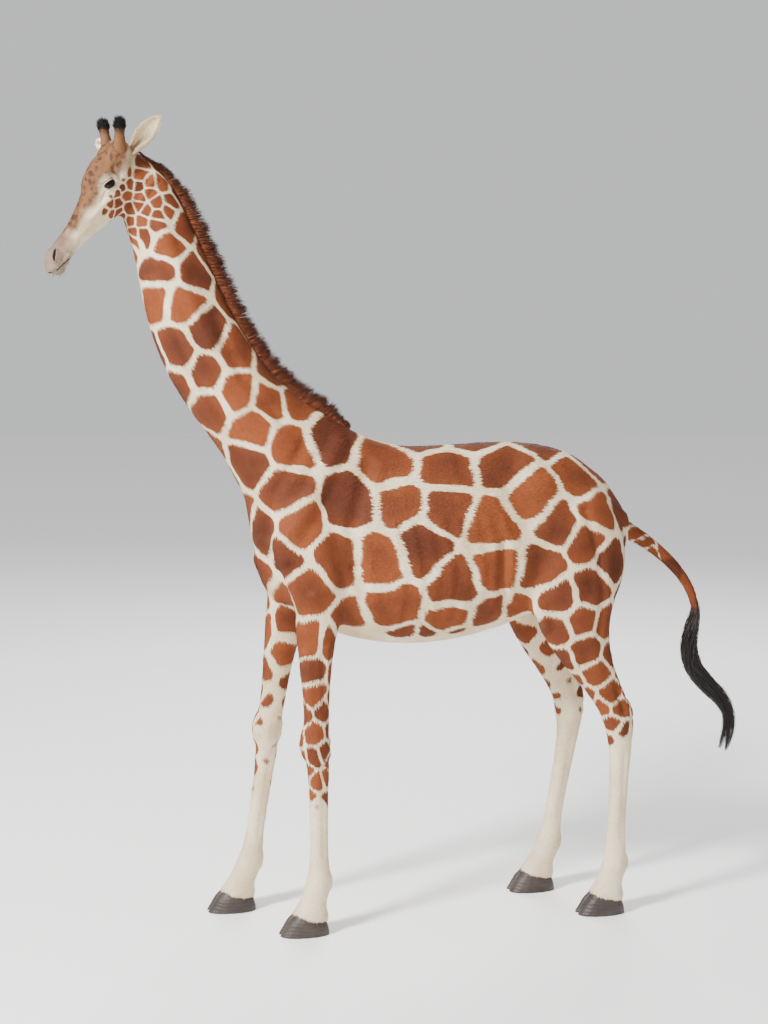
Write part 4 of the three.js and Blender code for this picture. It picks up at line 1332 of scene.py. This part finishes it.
def grow_tail_lock():
    """The long black hair of the tail, gathered in strands, which parts in two points at its end."""
    lock = curve(LOCK, 200)
    rng = np.random.default_rng(SEED + 200)
    start = 0.44 * rng.random(TAIL_HAIRS) ** 1.2
    end = 1 - 0.42 * rng.random(TAIL_HAIRS) ** 1.6
    turn = rng.uniform(0, 2 * math.pi, TAIL_HAIRS)
    off = np.sqrt(rng.uniform(0.05, 1, TAIL_HAIRS))
    kink = rng.uniform(0, 2 * math.pi, (2, TAIL_HAIRS))
    strand = rng.integers(0, TAIL_STRANDS, TAIL_HAIRS)
    strand_turn = rng.uniform(0, 2 * math.pi, TAIL_STRANDS)[strand]
    strand_off = np.sqrt(rng.uniform(0.1, 1.1, TAIL_STRANDS))[strand]
    parting = np.where(rng.random(TAIL_HAIRS) < 0.6, -1.0, 1.0)
    stray = np.where(rng.random(TAIL_HAIRS) < 0.08, rng.uniform(0.5, 1.4, TAIL_HAIRS), 0.0)

    def hair_at(share):
        """Where every hair is at a share of its own length."""
        at = (start + (end - start) * share) * (len(lock) - 1)
        first = np.floor(np.clip(at, 0, len(lock) - 2)).astype(int)
        part = (at - first)[:, None]
        middle = lock[first] * (1 - part) + lock[first + 1] * part
        run = unit((lock[first + 1] - lock[first])[:, :3])
        side = unit(np.cross(run, np.array([1.0, 0, 0])))
        other = np.cross(run, side)
        opened = middle[:, 3] * (0.30 + 0.70 * rising(share, 0, 0.3))
        swing = turn + 0.5 * np.sin(share * 5 + kink[0])
        drawn = strand_turn + 0.5 * np.sin(share * 4 + strand_turn)
        pull = 0.72 * rising(share, 0.1, 0.85)
        across = opened * ((1 - pull) * off * np.cos(swing) + pull * strand_off * np.cos(drawn))
        along = opened * ((1 - pull) * off * np.sin(swing) + pull * strand_off * np.sin(drawn))
        across += 0.003 * np.sin(share * 12 + kink[1]) + 0.016 * stray * share**2 * np.sin(kink[0])
        across += parting * 0.020 * rising(at / len(lock), 0.72, 1.0)
        along += 0.012 * stray * share**2
        return middle[:, :3] + side * across[:, None] + other * along[:, None]

    map_spots = np.stack([0.05 + 0.9 * turn / (2 * math.pi), 0.02 + 0.95 * start], axis=1)
    radius = rng.uniform(0.0013, 0.0024, TAIL_HAIRS)
    return strands("tail_hair", hair_at, radius, TAIL_FINISH, 201, map_spots, 12, taper=0.15)


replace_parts(grow_tail_lock(), "tail_tuft")

# ---- Ears ----

EAR_LENGTH, EAR_HALF = 0.225, 0.05
EAR_POINTS = {"left": (-0.72, 0.32, 0.62), "right": (-0.1, 0.2, 0.97)}  # ahead, up and outwards


def make_ear(side):
    """One ear: a pale leaf, hollow in front, with short hair all over and a long fringe inside its edges."""
    k = SIDES[side]
    leaf = smooth_copy(f"{side}_ear_leaf", f"{side}_ear", 0.0030, 12)
    root = from_head(-0.002, 0.022, 0.074 * k)
    forwards, upwards, outwards = EAR_POINTS[side]
    tipward = head_way(forwards, upwards, outwards * k)
    hollow = flattened(head_way(0.9, 0.42, 0), tipward)
    points = corners(leaf.data)
    inner = rising(normals(leaf.data) @ hollow, -0.05, 0.45)
    along = (points - root) @ tipward / EAR_LENGTH
    points -= tipward * (0.020 * falling(along, 0.02, 0.22))[:, None]  # its foot is sunk into the head
    place(leaf.data, points)
    sideways = np.abs((points - root) @ np.cross(tipward, hollow)) / EAR_HALF
    plain = np.zeros(len(points))
    fields = {
        "mark": plain - 0.05,
        "tone": plain,
        "brown": 0.75 * (1 - inner) * rising(0.75 - along, 0, 0.4) * falling(sideways, 0.3, 0.8) + 0.15,
        # Greyer towards the hollow's middle and foot: painted shade in the hollow, over the pale skin.
        "grey": 0.9 * inner * rising(0.8 - along, 0, 0.5) * falling(sideways, 0.25, 0.75),
        "bare": plain,
        "deep": plain,
    }
    store(leaf.data, head_hair=plain + 1, **fields)
    leaf.data.materials.append(SKIN_FINISH)
    wrap = ((root - 0.02 * tipward, root + 0.24 * tipward), hollow)
    fanned = unit(tipward + 0.25 * unit(points - root - along[:, None] * EAR_LENGTH * tipward))
    hide = Hide(leaf, COAT_FINISH, fields, fanned, 0.009 + 0.004 * rising(along, 0.1, 0.9))
    coat(f"{side}_ear_coat", hide, plain == 0, 6500, wrap, 50, 0.08)
    rim = (inner > 0.3) & (sideways > 0.35) & (along < 0.85)
    inward = np.broadcast_to(unit(tipward * 0.8 + hollow * 0.35), points.shape)
    fringe = Hide(leaf, COAT_FINISH, {**fields, "brown": plain, "grey": plain}, inward, plain + 0.023)
    coat(f"{side}_ear_fringe", fringe, rim, 4600, wrap, 52, 0.12, 0.036)


for side in SIDES:
    make_ear(side)

# ---- Ossicones: horns under skin, brown with black hair round the knob ----

KNOB_HAIRS = 560


def make_horn(side):
    """One horn, its short hair where it stands clear of the head's skin, and the black tuft on its knob."""
    horn = smooth_copy(f"{side}_horn", f"{side}_ossicone", 0.0042, 10)
    foot, upward = horn_axis(side)
    points = corners(horn.data)
    along = (points - foot) @ upward / HORN_LENGTH
    store(horn.data, tip=along, shade=0.10 * waves(points, 0.05, 90))
    horn.data.materials.append(HORN_FINISH)
    nearest = [skin_tree.find_nearest(point) for point in points.tolist()]
    over_skin = np.array([(point - hit[0]) @ np.array(hit[1]) for point, hit in zip(points, nearest)])
    climbing = np.broadcast_to(upward, points.shape)
    hide = Hide(horn, HORN_FINISH, {"tip": along}, climbing, 0.010 + 0.006 * rising(along, 0.7, 0.95))
    wrap = ((foot, foot + upward * HORN_LENGTH * 1.1), AHEAD)
    coat(f"{side}_horn_coat", hide, over_skin > -0.004, 4600, wrap, 54, 0.12)
    rng = np.random.default_rng(SEED + 300)
    spots = Scatter(horn.data, along > 0.76, KNOB_HAIRS, rng)
    ways = unit(spots.outward * 0.55 + upward + 0.16 * rng.normal(size=(KNOB_HAIRS, 3)))
    map_spots = np.stack([0.05 + 0.9 * rng.random(KNOB_HAIRS), 0.9 + 0.05 * rng.random(KNOB_HAIRS)], axis=1)
    lengths = rng.uniform(0.014, 0.024, KNOB_HAIRS)
    hairs = springing(spots.root - 0.002 * spots.outward, ways, lengths, 0.005 * upward)
    radius = rng.uniform(0.0009, 0.0014, KNOB_HAIRS)
    strands(f"{side}_horn_tuft", hairs, radius, KNOB_FINISH, 301, map_spots, 2)


for side in SIDES:
    make_horn(side)

# ---- Hooves ----

SOLE = 0.004  # the rounded edge below this is pressed flat to the ground
CLAW_TOE, CLAW_HEEL = 0.120, 0.074  # how high a claw's rim is in front and behind


def make_claw(foot, part):
    """One claw: flat on the ground, and drawn in at the rim so that the foot's hair hangs over it."""
    claw = smooth_copy(f"{foot}_{part}_claw", f"{foot}_{part}_hoof", 0.0045, 8)
    points = corners(claw.data)
    points = relaxed(points, edges(claw.data), 14, rising(points[:, 2], 0.012, 0.03))
    place(claw.data, points)
    toe, heel = points[:, 1].min(), points[:, 1].max()
    rim = np.interp(points[:, 1], (toe + 0.08, heel), (CLAW_TOE, CLAW_HEEL))
    facing = normals(claw.data)
    drawn_in = (0.009 - 0.008 * np.minimum(facing[:, 1], 0)) * rising(points[:, 2] - rim, -0.055, 0.0)
    points -= facing * (1, 1, 0.5) * drawn_in[:, None]
    points[:, 2] = np.maximum(points[:, 2] - SOLE, 0) * CLAW_TOE / (CLAW_TOE - SOLE)
    place(claw.data, points)
    store(claw.data, tall=points[:, 2] / CLAW_TOE)
    claw.data.materials.append(HOOF_FINISH)


for leg in LEGS:
    for part in ("outer", "inner"):
        make_claw("_".join(side_and_end(leg)), part)

# ---- Eyeballs, lashes and whiskers ----

UPPER_LASHES, LOWER_LASHES = 130, 46
LASH_TURN = 0.92  # how far round from the eye's middle the last lashes are
WHISKERS = 90


def make_eyeball(side):
    """A ball with a slightly raised cornea, looking out of its lids."""
    bm = bmesh.new()
    facing = Vector(EYE_FACING[side]).to_track_quat("Z", "Y").to_matrix().to_4x4()
    spot = Matrix.Translation(EYES[side]) @ facing
    bmesh.ops.create_uvsphere(bm, u_segments=64, v_segments=40, radius=EYE_RADIUS, matrix=spot)
    ball = added(f"{side}_eyeball", bm)
    points = corners(ball.data)
    seen = seen_from_eye(points, side)
    ray = unit(points - EYES[side])
    off_axis = np.arccos(np.clip(ray @ EYE_FACING[side], -1, 1))
    place(ball.data, points + ray * (0.0016 * falling(off_axis, 0.3, 0.85))[:, None])
    store(ball.data, turn=np.clip(seen.turn, -1.5, 1.5), rise=np.clip(seen.rise, -1.5, 1.5))
    ball.data.shade_smooth()
    ball.data.materials.append(EYE_FINISH)
    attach(ball, "root")
    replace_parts(ball, f"{side}_eye")


def make_lashes(side, rng):
    """Long drooping upper lashes with curled-up tips, and short lower ones."""
    count = UPPER_LASHES + LOWER_LASHES
    turn = np.concatenate([rng.uniform(-LASH_TURN, 0.9, UPPER_LASHES), rng.uniform(-0.75, 0.7, LOWER_LASHES)])
    upper = np.arange(count) < UPPER_LASHES
    rise = np.where(upper, LID_UP, -LID_DOWN) * lid_arch(turn / LID_HALF) * 1.1 - LID_TILT * turn
    level = np.sin(turn)[:, None] * EYE_FORWARD[side] + np.cos(turn)[:, None] * EYE_FACING[side]
    ray = level * np.cos(rise)[:, None] + np.sin(rise)[:, None] * EYE_UPWARD[side]
    roots = EYES[side] + ray * (EYE_RADIUS + 0.0012)
    ways = unit(EYE_FACING[side] + 0.7 * ray - 0.60 * EYE_UPWARD[side] + 0.09 * rng.normal(size=ray.shape))
    lengths = np.where(upper, rng.uniform(0.028, 0.039, count), rng.uniform(0.009, 0.015, count))
    lengths *= 1 - 0.45 * np.abs(turn) / LASH_TURN
    hairs = springing(roots, ways, lengths, np.where(upper, 0.011, -0.002)[:, None] * EYE_UPWARD[side])
    map_spots = rng.random((count, 2)) * 0.9 + 0.05
    strands(f"{side}_lashes", hairs, np.full(count, 0.0006), LASH_FINISH, 401, map_spots, 4, taper=0.1)


def make_whiskers(rng):
    """Short stiff whiskers on chin and lips."""
    chin = (share["head"] > 0.5) & (ahead > 0.60) & (up < -0.085) & (bare < 0.5)
    spots = Scatter(skin.data, chin, WHISKERS, rng)
    ways = unit(spots.outward + 0.4 * AHEAD - 0.3 * UP + 0.25 * rng.normal(size=(WHISKERS, 3)))
    hairs = springing(spots.root, ways, rng.uniform(0.008, 0.020, WHISKERS), -0.004 * UP)
    map_spots = rng.random((WHISKERS, 2)) * 0.9 + 0.05
    strands("chin_whiskers", hairs, np.full(WHISKERS, 0.00035), LASH_FINISH, 402, map_spots, 4, taper=0.1)


hair_draws = np.random.default_rng(SEED + 400)
for side in SIDES:
    make_eyeball(side)
    make_lashes(side, hair_draws)
make_whiskers(hair_draws)

# ---- Floor, light and camera ----

FLOOR_REACH = 30.0
ROOM_LIGHT, ROOM_STRENGTH = (0.93, 0.94, 0.96, 1), 0.74
CAMERA_AZIMUTH, CAMERA_RISE = math.radians(77), math.radians(7)
CAMERA_AIM, CAMERA_AWAY = Vector((0, -0.107, 2.13)), 11.0


def aimed(thing, spot, way):
    """Sets a lamp or camera at a spot, looking along a way."""
    thing.location = spot
    thing.rotation_euler = way.to_track_quat("-Z", "Y").to_euler()


def lamp(name, spot, aim, size, power):
    """A soft square lamp that looks at a spot."""
    light = bpy.data.lights.new(name, "AREA")
    light.size = size
    light.energy = power
    aimed(linked(name, light), spot, Vector(aim) - Vector(spot))


bm = bmesh.new()
bmesh.ops.create_circle(bm, segments=96, radius=FLOOR_REACH, cap_ends=True)
floor = added("floor", bm)
floor.data.materials.append(paint_finish("floor_paint", 252, 251, 249, 0.9))

world = bpy.data.worlds.new("room")
bpy.context.scene.world = world
world.use_nodes = True
world.node_tree.nodes["Background"].inputs["Color"].default_value = ROOM_LIGHT
world.node_tree.nodes["Background"].inputs["Strength"].default_value = ROOM_STRENGTH
lamp("key", (5.0, -8.0, 9.0), (0, -0.3, 2.2), 2.0, 3300)
lamp("fill", (9.0, 6.0, 4.0), (0, 0.3, 2.0), 6.0, 120)
lamp("rim", (-7.5, 3.0, 8.0), (0, 0, 2.4), 4.0, 900)

camera = bpy.data.cameras.new("camera")
camera.sensor_width = 24
camera.lens = 50
level = math.cos(CAMERA_RISE)
toward = Vector((math.sin(CAMERA_AZIMUTH) * level, -math.cos(CAMERA_AZIMUTH) * level, math.sin(CAMERA_RISE)))
viewpoint = linked("camera", camera)
aimed(viewpoint, CAMERA_AIM + toward * CAMERA_AWAY, -toward)
bpy.context.scene.camera = viewpoint
